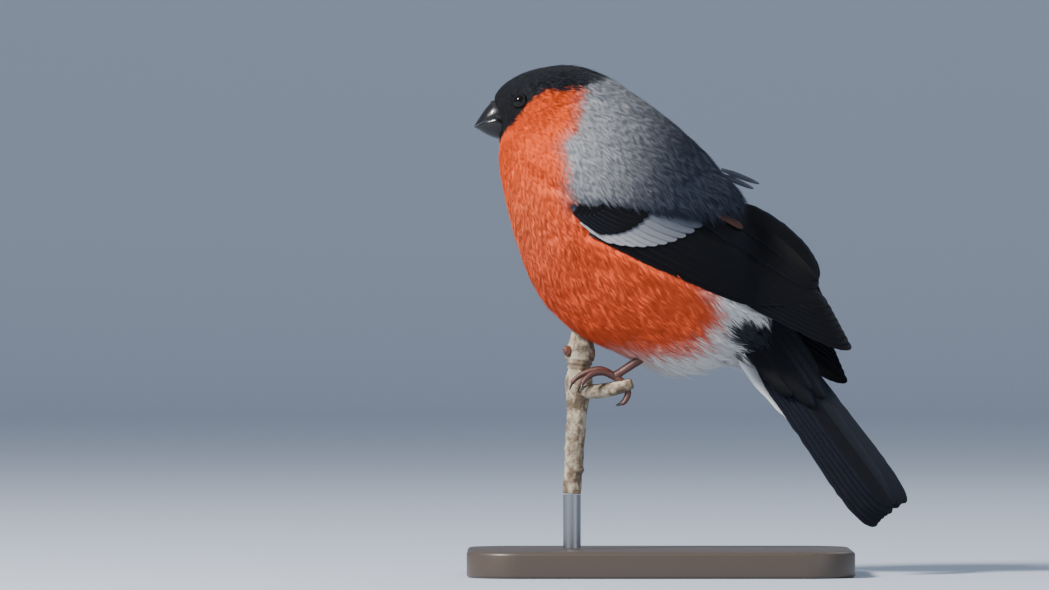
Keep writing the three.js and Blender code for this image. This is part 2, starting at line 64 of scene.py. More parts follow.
def smooth(value: np.ndarray, low: float, high: float) -> np.ndarray:
    """Ease from 0 at low to 1 at high."""
    t = np.clip((value - low) / (high - low), 0.0, 1.0)
    return t * t * (3.0 - 2.0 * t)


def linear(red: int, green: int, blue: int) -> np.ndarray:
    """Turn a display colour of 0 to 255 into the linear colour that a shader takes."""
    share = np.array([red, green, blue], float) / 255.0
    return np.where(share <= 0.04045, share / 12.92, ((share + 0.055) / 1.055) ** 2.4)


def unit(vectors: np.ndarray) -> np.ndarray:
    """Scale vectors to length 1."""
    size = np.linalg.norm(vectors, axis=-1, keepdims=True)
    return vectors / np.maximum(size, 1e-12)


def inside(points: np.ndarray, outline: np.ndarray) -> np.ndarray:
    """Say which points lie inside a closed flat outline.

    Args:
        points: Flat points, one row each.
        outline: Corners of the outline.

    Returns:
        True for each point inside.
    """
    result = np.zeros(len(points), bool)
    x, z = points[:, 0], points[:, 1]
    for (ax, az), (bx, bz) in zip(outline, np.roll(outline, -1, axis=0)):
        crosses = (az > z) != (bz > z)
        at = (bx - ax) * (z - az) / (bz - az + 1e-12) + ax
        result ^= crosses & (x < at)
    return result


def to_line(points: np.ndarray, a: np.ndarray, b: np.ndarray) -> np.ndarray:
    """Distance of flat points from the line between a and b."""
    t = np.clip(((points - a) @ (b - a)) / ((b - a) @ (b - a)), 0, 1)
    return np.linalg.norm(points - a - t[:, None] * (b - a), axis=1)


def distance_in(points: np.ndarray, outline: np.ndarray) -> np.ndarray:
    """Distance to a closed flat outline, positive inside of it.

    Args:
        points: Flat points, one row each.
        outline: Corners of the outline.

    Returns:
        A distance for each point.
    """
    best = np.full(len(points), np.inf)
    for a, b in zip(outline, np.roll(outline, -1, axis=0)):
        best = np.minimum(best, to_line(points, a, b))
    return np.where(inside(points, outline), best, -best)


def blend(first: np.ndarray, second: np.ndarray, share: np.ndarray | float) -> np.ndarray:
    """Mix two colours, by the share of the second."""
    return first * (1 - share) + second * share


def curve(values: np.ndarray, places: np.ndarray) -> np.ndarray:
    """A smooth curve through rows of values that lie at the whole places 0, 1, 2 and on.

    Args:
        values: Rows that the curve goes through.
        places: Where the curve is read, also a little past the last row.

    Returns:
        A row for each place.
    """
    i = np.clip(np.floor(places).astype(int), 0, len(values) - 2)
    t = (places - i)[:, None]
    before, a, b, after = (values[np.clip(i + k, 0, len(values) - 1)] for k in (-1, 0, 1, 2))
    slope_in, slope_out = (b - before) / 2, (after - a) / 2
    return a + t * (slope_in + t * (3 * (b - a) - 2 * slope_in - slope_out
                                    + t * (slope_in + slope_out - 2 * (b - a))))


def held(value: np.ndarray) -> np.ndarray:
    """Make an array the fixed value of a dataclass field."""
    return field(default_factory=lambda: value)


# The body's surface


@dataclass(frozen=True)
class BodyForm:
    """The body as ribs from the bill's root to the tail's root, each from the back to the belly."""

    # Back x, back z, belly x, belly z, half width.
    ribs: np.ndarray = held(np.array([
        [-41.1, 128.2, -39.6, 118.2, 4.3],
        [-40.2, 130.8, -39.6, 116.6, 6.6],
        [-37.2, 133.8, -39.5, 115.5, 8.9],
        [-32.4, 136.3, -39.6, 114.2, 11.2],
        [-26.2, 137.9, -39.8, 112.6, 12.8],
        [-18.9, 138.1, -39.8, 110.3, 13.9],
        [-10.5, 135.5, -39.5, 106.9, 15.2],
        [-2.0, 130.2, -38.5, 101.8, 17.8],
        [7.0, 123.5, -36.9, 95.0, 21.0],
        [16.2, 115.2, -34.6, 87.4, 23.8],
        [22.6, 107.2, -31.6, 79.6, 25.4],
        [26.6, 100.0, -27.2, 72.6, 25.6],
        [29.4, 92.4, -19.0, 65.0, 24.6],
        [31.2, 85.2, -8.2, 59.8, 22.2],
        [32.8, 78.6, 3.0, 55.0, 18.6],
        [34.0, 73.0, 12.0, 55.0, 14.4],
        [34.4, 69.0, 18.0, 57.6, 10.4],
    ]))
    fullness: float = 2.15
    search_steps: int = 24

    @property
    def last(self) -> int:
        """Number of the last rib."""
        return len(self.ribs) - 1

    def rib(self, count: np.ndarray) -> np.ndarray:
        """Rows of ribs at places between the named ones."""
        return curve(self.ribs, count)

    def points(self, count: np.ndarray, turn: np.ndarray, swell: np.ndarray | float) -> np.ndarray:
        """Find points of the surface.

        Args:
            count: Places along the body, in ribs.
            turn: Turns around the rib, from the back.
            swell: How far the points lie outside of the plain body.

        Returns:
            One point a row.
        """
        rib = self.rib(count)
        back = np.stack([rib[:, 0], np.zeros(len(rib)), rib[:, 1]], 1)
        belly = np.stack([rib[:, 2], np.zeros(len(rib)), rib[:, 3]], 1)
        up = (back - belly) / 2
        tall = np.linalg.norm(up, axis=1)
        rise = np.sign(np.cos(turn)) * np.abs(np.cos(turn)) ** (2 / self.fullness)
        wide = np.sign(np.sin(turn)) * np.abs(np.sin(turn)) ** (2 / self.fullness)
        point = (back + belly) / 2 + (up / tall[:, None]) * ((tall + swell) * rise)[:, None]
        point[:, 1] = (rib[:, 4] + swell) * wide
        return point

    def flank(self, x: np.ndarray, z: np.ndarray) -> np.ndarray:
        """Find the half width of the body beside places of the middle plane.

        Args:
            x: How far back each place is.
            z: How high it is.

        Returns:
            The half widths, 0 past the body's outline.
        """
        low, high = np.zeros(len(x)), np.full(len(x), self.last - 1e-3)
        for _ in range(self.search_steps):
            middle = (low + high) / 2
            rib = self.rib(middle)
            ahead = (rib[:, 0] - rib[:, 2]) * (z - rib[:, 3]) - (rib[:, 1] - rib[:, 3]) * (x - rib[:, 2])
            low, high = np.where(ahead < 0, middle, low), np.where(ahead < 0, high, middle)
        rib = self.rib(low)
        along = rib[:, 0:2] - rib[:, 2:4]
        share = 2 * ((x - rib[:, 2]) * along[:, 0] + (z - rib[:, 3]) * along[:, 1]) / (along**2).sum(1) - 1
        roundness = np.maximum(1 - np.abs(share) ** self.fullness, 0) ** (1 / self.fullness)
        return rib[:, 4] * roundness

    def flank_at(self, x: float, z: float) -> float:
        """Half width of the body beside one place."""
        return float(self.flank(np.array([x]), np.array([z]))[0])


BODY = BodyForm()


# Colours and where they lie


class Zone(Enum):
    """The colour zones of the coat."""

    CAP = "cap"
    BREAST = "breast"
    BACK = "back"
    WHITE = "white"


@dataclass(frozen=True)
class Markings:
    """Outlines of the colour zones seen from the side, in millimetres, and their colours."""

    cap: np.ndarray = held(np.array([
        [-11.9, 142.0], [-11.9, 135.0], [-15.4, 132.8], [-19.4, 131.2], [-23.5, 130.7], [-27.8, 130.5],
        [-29.7, 129.3], [-32.1, 126.9], [-34.0, 124.2], [-35.9, 122.3], [-37.5, 120.2], [-38.9, 117.7],
        [-39.6, 116.4], [-50.0, 116.4], [-50.0, 142.0],
    ]))
    back: np.ndarray = held(np.array([
        [-19.0, 142.0], [-19.0, 134.0], [-16.4, 132.6], [-17.6, 130.0], [-18.1, 125.6], [-18.5, 120.7],
        [-22.7, 116.1], [-21.6, 112.9], [-20.8, 108.0], [-21.3, 104.0], [-18.9, 99.5], [-12.0, 95.5],
        [-5.4, 91.5], [2.2, 87.5], [12.2, 82.5], [21.6, 78.0], [31.0, 75.0], [70.0, 72.0], [70.0, 142.0],
    ]))
    white: np.ndarray = held(np.array([
        [-12.2, 60.2], [-5.4, 60.2], [1.4, 60.2], [8.1, 60.8], [14.0, 63.5], [18.1, 67.5], [19.7, 72.9],
        [19.2, 74.8], [12.2, 84.5], [22.0, 88.0], [33.0, 101.0], [70.0, 101.0], [70.0, 30.0], [-12.2, 30.0],
    ]))
    coverts: np.ndarray = held(np.array([
        [20.8, 68.6], [20.6, 64.4], [24.8, 60.6], [28.5, 55.6], [45.0, 40.0], [60.0, 60.0], [60.0, 72.0],
        [33.0, 70.8], [26.0, 69.0],
    ]))
    # How much of the waver the cap's sharp border takes.
    cap_waver: float = 0.15
    black: np.ndarray = held(linear(11, 12, 19))
    cheek: np.ndarray = held(linear(255, 98, 44))
    belly: np.ndarray = held(linear(246, 98, 56))
    # A pale salmon for the painted highlight on the breast.
    highlight_salmon: np.ndarray = held(linear(255, 128, 84))
    # Middle x and z of the painted highlight on the breast's lit front, how wide and tall it is, and how much
    # it pales.
    painted_highlight: tuple = (-33.0, 94.0, 9.0, 15.0)
    painted_highlight_share: float = 0.45
    # How much white and grey the red takes up at the border, and over which distances from it.
    fade_white: float = 0.45
    fade_grey: float = 0.4
    fade_reach: tuple = (-4.5, 0.5)
    # The grey of the back, and the slate it darkens to towards the rear as painted shade.
    grey: np.ndarray = held(linear(166, 168, 172))
    slate: np.ndarray = held(linear(50, 56, 70))
    pale: np.ndarray = held(linear(248, 247, 244))

    def zones(self, points: np.ndarray, waver: np.ndarray) -> np.ndarray:
        """Find the zones that points lie in.

        Args:
            points: Points of the body.
            waver: How far the borders are shifted for each point, in millimetres.

        Returns:
            The zones' numbers, in the order of Zone.
        """
        flat = points[:, [0, 2]]
        cap, breast, back, white = range(len(Zone))
        zone = np.full(len(points), breast)
        zone[distance_in(flat, self.back) > waver] = back
        zone[distance_in(flat, self.white) > waver] = white
        zone[distance_in(flat, self.coverts) > waver] = cap
        zone[distance_in(flat, self.cap) > waver * self.cap_waver] = cap
        return zone

    def colours(self, points: np.ndarray, waver: np.ndarray) -> np.ndarray:
        """Find the linear colours of points of the coat.

        Args:
            points: Points of the body.
            waver: How far the borders are shifted for each point, in millimetres.

        Returns:
            One colour a row.
        """
        flat = points[:, [0, 2]]
        red = blend(self.cheek, self.belly, smooth(points[:, 2], 120.0, 75.0)[:, None])
        # Painted highlight: the red pales towards salmon on the breast's front, where the key light falls.
        x, z, wide, tall = self.painted_highlight
        highlight_mask = np.exp(-(((flat[:, 0] - x) / wide) ** 2) - ((flat[:, 1] - z) / tall) ** 2)[:, None]
        red = blend(red, self.highlight_salmon, self.painted_highlight_share * highlight_mask)
        borders = ((self.white, self.pale, self.fade_white), (self.back, self.grey, self.fade_grey))
        for outline, colour, most in borders:
            red = blend(red, colour, most * smooth(distance_in(flat, outline), *self.fade_reach)[:, None])
        # Painted shade: the back's grey darkens to slate towards the rear.
        rear_shade = smooth(points[:, 0] - 0.35 * points[:, 2], -62.0, -29.0)[:, None]
        zones = (self.black, red, blend(self.grey, self.slate, rear_shade), self.pale)
        table = np.stack([np.broadcast_to(colour, red.shape) for colour in zones])
        return table[self.zones(points, waver), np.arange(len(points))]


MARKINGS = Markings()


# Meshes from arrays


@dataclass
class Place:
    """Where the bird's own frame lies in the shared one."""

    x: float
    y: float

    def world(self, points: np.ndarray) -> np.ndarray:
        """Move points from the bird's millimetres to the shared metres."""
        return (points + np.array([self.x, self.y, 0.0])) * MM

    def home(self, points: np.ndarray) -> np.ndarray:
        """Move points from the shared metres to the bird's millimetres."""
        return points / MM - np.array([self.x, self.y, 0.0])


def find_place(stand_x: float = 4.0) -> Place:
    """Read the frame's offset from the stand.

    Args:
        stand_x: Where the stand's middle lies in the bird's own frame.

    Returns:
        The place.
    """
    low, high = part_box("stand_base")
    return Place((low[0] + high[0]) / 2 / MM - stand_x, (low[1] + high[1]) / 2 / MM)


PLACE = find_place()


@dataclass
class Build:
    """Vertices, faces, a flat map and a colour for each vertex, gathered piece by piece."""

    points: list[np.ndarray] = field(default_factory=list)
    faces: list[np.ndarray] = field(default_factory=list)
    maps: list[np.ndarray] = field(default_factory=list)
    tints: list[np.ndarray] = field(default_factory=list)
    count: int = 0

    def add(self, points: np.ndarray, faces: np.ndarray, flat: np.ndarray, tint: np.ndarray) -> None:
        """Add one closed piece.

        Args:
            points: Its vertices, in the bird's millimetres.
            faces: Its faces, as rows of corner numbers.
            flat: A place of the flat map for each vertex.
            tint: One linear colour, or one for each vertex.
        """
        self.points.append(points)
        self.faces.append(faces + self.count)
        self.maps.append(flat)
        self.tints.append(np.broadcast_to(tint, (len(points), 3)))
        self.count += len(points)

    def object(self, name: str, material: bpy.types.Material) -> bpy.types.Object:
        """Make the mesh object, with the colours in "tint" and the flat map in "vane".

        Args:
            name: Name of the piece.
            material: Its finish.

        Returns:
            The object.
        """
        faces = np.concatenate(self.faces)
        mesh = mesh_of(name, PLACE.world(np.concatenate(self.points)), faces)
        put_colour(mesh, "tint", np.concatenate(self.tints))
        put_map(mesh, "vane", np.concatenate(self.maps), faces)
        return link(name, mesh, material)


def mesh_of(name: str, points: np.ndarray, faces: np.ndarray) -> bpy.types.Mesh:
    """Make a smooth mesh of faces that all have the same number of corners.

    Args:
        name: Name of the mesh.
        points: Its vertices, as the mesh keeps them.
        faces: Corner numbers, one face a row.

    Returns:
        The mesh.
    """
    mesh = bpy.data.meshes.new(name)
    sides = faces.shape[1]
    mesh.vertices.add(len(points))
    mesh.vertices.foreach_set("co", points.astype(np.float32).ravel())
    mesh.loops.add(faces.size)
    mesh.loops.foreach_set("vertex_index", faces.astype(np.int32).ravel())
    mesh.polygons.add(len(faces))
    mesh.polygons.foreach_set("loop_start", np.arange(0, faces.size, sides, dtype=np.int32))
    mesh.update(calc_edges=True)
    mesh.polygons.foreach_set("use_smooth", np.full(len(faces), True))
    return mesh


def put(mesh: bpy.types.Mesh, name: str, kind: str, part: str, values: np.ndarray) -> None:
    """Store an attribute for each vertex.

    Args:
        mesh: The mesh.
        name: Name of the attribute.
        kind: Its data type.
        part: What the type calls its data.
        values: One row for each vertex.
    """
    layer = mesh.attributes.new(name, kind, "POINT")
    layer.data.foreach_set(part, values.astype(np.float32).ravel())


def put_colour(mesh: bpy.types.Mesh, name: str, colours: np.ndarray) -> None:
    """Store a linear colour for each vertex."""
    put(mesh, name, "FLOAT_COLOR", "color", np.concatenate([colours, np.ones((len(colours), 1))], 1))


def put_map(mesh: bpy.types.Mesh, name: str, flat: np.ndarray, faces: np.ndarray) -> None:
    """Add a flat map that has one place for each vertex."""
    layer = mesh.uv_layers.new(name=name)
    layer.uv.foreach_set("vector", flat[faces.ravel()].astype(np.float32).ravel())


def link(name: str, mesh: bpy.types.Mesh, material: bpy.types.Material | None) -> bpy.types.Object:
    """Put a mesh in the scene.

    Args:
        name: Name of the object.
        mesh: Its mesh.
        material: Its finish, or None for a tuft that the coat's tree finishes.

    Returns:
        The object.
    """
    thing = bpy.data.objects.new(name, mesh)
    if material:
        mesh.materials.append(material)
    bpy.context.scene.collection.objects.link(thing)
    return thing


def grid_faces(rows: int, sides: int) -> np.ndarray:
    """Quads of a tube with closed rounds, from ring to ring."""
    i, j = np.meshgrid(np.arange(rows - 1), np.arange(sides), indexing="ij")
    a, b = i * sides + j, i * sides + (j + 1) % sides
    return np.stack([a, b, b + sides, a + sides], -1).reshape(-1, 4)


def fan_quads(start: int, sides: int) -> np.ndarray:
    """Close an even ring with a row of quads across it."""
    j = np.arange(sides // 2 - 1)
    return start + np.stack([j + 1, j, sides - 1 - j, sides - 2 - j], -1)


def closed_faces(rows: int, sides: int) -> np.ndarray:
    """Quads of a tube of rings with both ends closed."""
    ends = [fan_quads(0, sides), fan_quads((rows - 1) * sides, sides)[:, ::-1]]
    return np.concatenate([grid_faces(rows, sides), *ends])


def outward(points: np.ndarray, faces: np.ndarray) -> np.ndarray:
    """Turn the faces of a closed mesh so that they point out.

    Args:
        points: Its vertices.
        faces: Its triangles or quads.

    Returns:
        The faces, turned if they pointed in.
    """
    a, b, c = (points[faces[:, k]] for k in range(3))
    volume = np.einsum("ij,ij->", a, np.cross(b, c))
    if faces.shape[1] == 4:
        volume += np.einsum("ij,ij->", a, np.cross(c, points[faces[:, 3]]))
    return faces if volume > 0 else faces[:, ::-1]


def tube(places: np.ndarray, radii: np.ndarray, sides: int, ripple: Callable | None = None) -> tuple:
    """A closed round tube through places, its ends closed by tiny rings.

    Args:
        places: Middle points, one row each.
        radii: A radius for each place.
        sides: Corners around.
        ripple: A factor on the radius from the row share and the turn, or None.

    Returns:
        Points, quads and a flat map.
    """
    tiny = 0.02
    along = unit(np.gradient(places, axis=0))
    across = unit(np.cross(along, np.array([0.0, 1.0, 0.02])))
    over = np.cross(across, along)
    turn = np.arange(sides) / sides * FULL_TURN
    share = np.linspace(0, 1, len(places))
    factor = np.ones((len(places), sides)) if ripple is None else ripple(share[:, None], turn[None, :])
    reach = (radii[:, None] * factor)[..., None]
    ring = places[:, None] + reach * (np.cos(turn)[None, :, None] * across[:, None]
                                      + np.sin(turn)[None, :, None] * over[:, None])
    first = places[:1, None] + (ring[:1] - places[:1, None]) * tiny
    final = places[-1:, None] + (ring[-1:] - places[-1:, None]) * tiny
    ring = np.concatenate([first, ring, final])
    points = ring.reshape(-1, 3)
    v, u = np.meshgrid(np.linspace(0, 1, len(ring)), turn / FULL_TURN, indexing="ij")
    return points, outward(points, closed_faces(len(ring), sides)), np.stack([u, v], -1).reshape(-1, 2)


# Node trees and finishes


class Tree:
    """A small writer of node trees."""

    def __init__(self, tree: bpy.types.NodeTree) -> None:
        """Start on a given tree."""
        self.tree = tree

    def node(self, kind: str, inputs: dict | None = None, **settings: object) -> bpy.types.Node:
        """Add a node.

        Args:
            kind: Its type.
            inputs: Values or links for its inputs, by name or number.
            settings: Its own settings.

        Returns:
            The node.
        """
        node = self.tree.nodes.new(kind)
        for key, value in settings.items():
            setattr(node, key, value)
        for key, value in (inputs or {}).items():
            self.feed(node.inputs[key], value)
        return node

    def feed(self, socket: bpy.types.NodeSocket, value: object) -> None:
        """Link an output to a socket or set its value."""
        if isinstance(value, bpy.types.NodeSocket):
            self.tree.links.new(value, socket)
        else:
            socket.default_value = value

    def maths(self, operation: str, *values: object) -> bpy.types.NodeSocket:
        """The result of an operation on numbers or links."""
        return self.node("ShaderNodeMath", dict(enumerate(values)), operation=operation).outputs[0]


class Shader(Tree):
    """A material and its tree."""

    def __init__(self, name: str) -> None:
        """Make a material with its main shader."""
        self.material = bpy.data.materials.new(name)
        self.material.use_nodes = True
        super().__init__(self.material.node_tree)
        self.main = self.tree.nodes["Principled BSDF"]

    def surface(self, **values: object) -> None:
        """Set inputs of the main shader by their names with underscores for spaces."""
        for key, value in values.items():
            self.feed(self.main.inputs[key.replace("_", " ")], value)

    def noise(self, **values: object) -> bpy.types.NodeSocket:
        """Noise through the object, with values for the noise's inputs."""
        where = self.node("ShaderNodeTexCoord").outputs["Object"]
        return self.node("ShaderNodeTexNoise", {"Vector": where, **values}).outputs["Fac"]

    def bump(self, height: bpy.types.NodeSocket, strength: float, distance: float) -> None:
        """Roughen the surface by a height, with the bump's depth in metres."""
        bump = self.node("ShaderNodeBump", {"Height": height, "Strength": strength, "Distance": distance})
        self.surface(Normal=bump.outputs["Normal"])


def rgba(colour: np.ndarray) -> tuple:
    """A colour with full alpha."""
    return (*[float(value) for value in colour], 1.0)


@dataclass(frozen=True)
class PlainFinish:
    """An even surface with a fine grain, and patches of a second colour where mottle gives one."""

    name: str
    colour: np.ndarray
    roughness: float
    metallic: float = 0.0
    grain: float = 0.0
    grain_size: float = 900.0
    grain_depth: float = 0.0003
    coat: float = 0.0
    coat_roughness: float = 0.08
    specular: float = 0.5
    mottle: np.ndarray | None = None
    mottle_size: float = 260.0
    mottle_range: tuple = (0.42, 0.6)

    def material(self) -> bpy.types.Material:
        """Build the shader."""
        shader = Shader(self.name)
        shader.surface(Base_Color=rgba(self.colour), Roughness=self.roughness, Metallic=self.metallic,
                       Coat_Weight=self.coat, Coat_Roughness=self.coat_roughness,
                       Specular_IOR_Level=self.specular)
        if self.grain:
            shader.bump(shader.noise(Scale=self.grain_size, Detail=3.0), self.grain, self.grain_depth)
        if self.mottle is not None:
            low, high = self.mottle_range
            noise = shader.noise(Scale=self.mottle_size, Detail=5.0, Roughness=0.7)
            share = shader.node("ShaderNodeMapRange", {"Value": noise, "From Min": low, "From Max": high})
            mix = shader.node("ShaderNodeMix", {
                0: share.outputs["Result"], 6: rgba(self.colour), 7: rgba(self.mottle),
            }, data_type="RGBA")
            shader.surface(Base_Color=mix.outputs[2])
        return shader.material


@dataclass(frozen=True)
class FeatherFinish:
    """Feathers coloured by the "tint" attribute, with slanting barbs along the flat map of vanes."""

    name: str
    roughness: float
    sheen: float = 0.0
    sheen_tint: tuple = (1.0, 1.0, 1.0, 1.0)
    sheen_roughness: float = 0.35
    vaned: bool = False
    specular: float = 0.35
    barb_slant: float = -0.35
    barb_count: float = 520.0
    barb_depth: float = 0.00009

    def material(self) -> bpy.types.Material:
        """Build the shader."""
        shader = Shader(self.name)
        tint = shader.node("ShaderNodeAttribute", attribute_name="tint").outputs["Color"]
        shader.surface(Base_Color=tint, Roughness=self.roughness, Sheen_Weight=self.sheen,
                       Sheen_Tint=self.sheen_tint, Sheen_Roughness=self.sheen_roughness,
                       Specular_IOR_Level=self.specular)
        if self.vaned:
            flat = shader.node("ShaderNodeUVMap", uv_map="vane").outputs["UV"]
            parts = shader.node("ShaderNodeSeparateXYZ", {"Vector": flat}).outputs
            away = shader.maths("ABSOLUTE", shader.maths("SUBTRACT", parts["X"], 0.5))
            slant = shader.maths("MULTIPLY_ADD", away, self.barb_slant, parts["Y"])
            wave = shader.maths("SINE", shader.maths("MULTIPLY", slant, self.barb_count))
            shader.bump(wave, 0.6, self.barb_depth)
        return shader.material


# The skin under the coat


@dataclass
class Skin:
    """One closed skin for head, neck and torso, inside their solids by the coat's depth."""

    depth: float = 1.0
    rings: int = 200
    around: int = 160
    ridge: float = 1.5
    shoulder: float = 2.0
    ridge_reach: float = 7.0
    tail_dome: int = 7
    dome_depth: float = 3.0
    recess: float = 1.5
    fluff: float = 3.2
    # Factor on the coat's colours for the skin under it: painted shade beneath the feathers.
    shade: float = 0.85
    sink: float = 0.5
    bill: np.ndarray = held(np.array([-41.0, 0.0, 123.4]))
    eye: np.ndarray = held(np.array([-34.2, 128.1]))
    bare_round_eye: tuple = (1.75, 1.95)

    def swell(self, points: np.ndarray) -> np.ndarray:
        """How far the skin lies from the plain body: it rises round the wing to overlap it."""
        into = wing_cover(points)
        above = smooth(points[:, 2] + 0.52 * points[:, 0], 91.0, 96.0)
        reach = self.ridge_reach * (1 + 0.6 * above)
        rise = np.exp(-((np.minimum(into, 0) / reach) ** 2)) * smooth(-into, -0.9, 0.7)
        side = smooth(np.abs(points[:, 1]), 5.0, 11.0)
        sink = self.sink * smooth(into, 0.0, 2.0)
        return -self.depth + ((self.ridge + self.shoulder * above) * rise - sink) * side

    def build(self, material: bpy.types.Material) -> bpy.types.Object:
        """Make the skin with the fields that the coat grows by."""
        count = np.linspace(0, BODY.last, self.rings)
        turn = (np.arange(self.around) + 0.5) / self.around * FULL_TURN
        counts, turns = (grid.ravel() for grid in np.meshgrid(count, turn, indexing="ij"))
        plain = BODY.points(counts, turns, 0.0)
        points = BODY.points(counts, turns, self.swell(plain))
        step = 0.04
        lie = unit(BODY.points(np.minimum(counts + step, BODY.last), turns, 0.0)
                   - BODY.points(np.maximum(counts - step, 0), turns, 0.0))
        flat = np.stack([counts / BODY.last * 0.9 + 0.02, turns / FULL_TURN], 1)

        # The rear end closes as a dome over the tail's root.
        tail_ring = points[-self.around:]
        middle = tail_ring.mean(0)
        axis = np.array([0.62, 0.0, -0.78])
        domes, lies, flats = [], [], []
        for k in range(1, self.tail_dome + 1):
            bend = k / self.tail_dome * math.pi / 2 * 0.97
            domes.append(middle + (tail_ring - middle) * math.cos(bend)
                         + axis * self.dome_depth * math.sin(bend))
            lies.append(np.broadcast_to(axis, tail_ring.shape))
            flats.append(flat[-self.around:] + [0.01 * k, 0])
        front = points[:self.around]
        nose = front.mean(0) + (front - front.mean(0)) * 0.03 + np.array([-0.5, 0, 0])
        points = np.concatenate([nose, points, *domes])
        beside_bill = np.exp(-(((points[:, 2] - 122.0) / 4.6) ** 2)) * smooth(-points[:, 0], 36.0, 40.5)
        points[:, 0] += self.recess * beside_bill
        lie = np.concatenate([lie[:self.around], lie, *lies])
        flat = np.concatenate([flat[:self.around], flat, *flats])
        faces = outward(points, closed_faces(self.rings + self.tail_dome + 1, self.around))

        mesh = mesh_of("skin", PLACE.world(points), faces)
        # The skin takes the coat's colours, darkened as painted shade beneath the feathers.
        put_colour(mesh, "tint", MARKINGS.colours(points, np.zeros(len(points))) * self.shade)
        put(mesh, "lie", "FLOAT_VECTOR", "vector", lie)
        put(mesh, "flat", "FLOAT_VECTOR", "vector", np.concatenate([flat, np.zeros((len(flat), 1))], 1))
        for name, values in zip(("length", "density"), self.coat_fields(points)):
            put(mesh, name, "FLOAT", "value", values)
        put_map(mesh, "OFBake", flat, faces)
        return link("skin", mesh, material)

    def coat_fields(self, points: np.ndarray) -> tuple[np.ndarray, np.ndarray]:
        """Plan the coat: shortest at bill and eye, longest and hanging below.

        Args:
            points: Points of the skin.

        Returns:
            Length of the feathers there in millimetres, and how many grow on a square millimetre.
        """
        bill = np.linalg.norm(points - self.bill, axis=1)
        length = 1.5 + 1.3 * smooth(bill, 4.0, 14.0) + 1.6 * smooth(bill, 13.0, 30.0)
        length += 1.9 * smooth(bill, 30.0, 75.0)
        eye = np.linalg.norm(points[:, [0, 2]] - self.eye, axis=1)
        length *= 0.5 + 0.5 * smooth(eye, 2.2, 6.0)
        density = np.clip(26.0 / length**2, 0.7, 8.0)
        length += self.fluff * smooth(-points[:, 2], -68.0, -59.0) * smooth(points[:, 0], -14.0, -6.0)
        density *= smooth(eye, *self.bare_round_eye)
        covered = wing_cover(points) > 1.2
        density[covered & (np.abs(points[:, 1]) > 4.0)] = 0.0
        return length, density


# Geometry node trees


class Growth(Tree):
    """A geometry tree with named inputs."""

    def __init__(self, name: str) -> None:
        """Make the tree with its geometry in and out."""
        super().__init__(bpy.data.node_groups.new(name, "GeometryNodeTree"))
        self.tree.interface.new_socket("Geometry", in_out="OUTPUT", socket_type="NodeSocketGeometry")
        self.tree.interface.new_socket("Geometry", in_out="INPUT", socket_type="NodeSocketGeometry")
        self.values: dict[str, object] = {}

    def input(self, name: str, kind: str, value: object) -> None:
        """Declare a named input and the value that the modifier gives it."""
        socket = self.tree.interface.new_socket(name, in_out="INPUT", socket_type=kind)
        self.values[socket.identifier] = value

    def stored(self, name: str, kind: str) -> bpy.types.NodeSocket:
        """Read an attribute of the skin."""
        node = self.node("GeometryNodeInputNamedAttribute", {"Name": name}, data_type=kind)
        return node.outputs["Attribute"]

    def grown(self, host: bpy.types.Object, name: str) -> bpy.types.Mesh:
        """Evaluate the tree on a host, leaving the host as it was.

        Args:
            host: The object that the tree grows on.
            name: Name of the modifier.

        Returns:
            The mesh that the tree makes.
        """
        modifier = host.modifiers.new(name, "NODES")
        modifier.node_group = self.tree
        for identifier, value in self.values.items():
            modifier[identifier] = value
        graph = bpy.context.evaluated_depsgraph_get()
        mesh = bpy.data.meshes.new_from_object(host.evaluated_get(graph), depsgraph=graph)
        host.modifiers.remove(modifier)
        return mesh


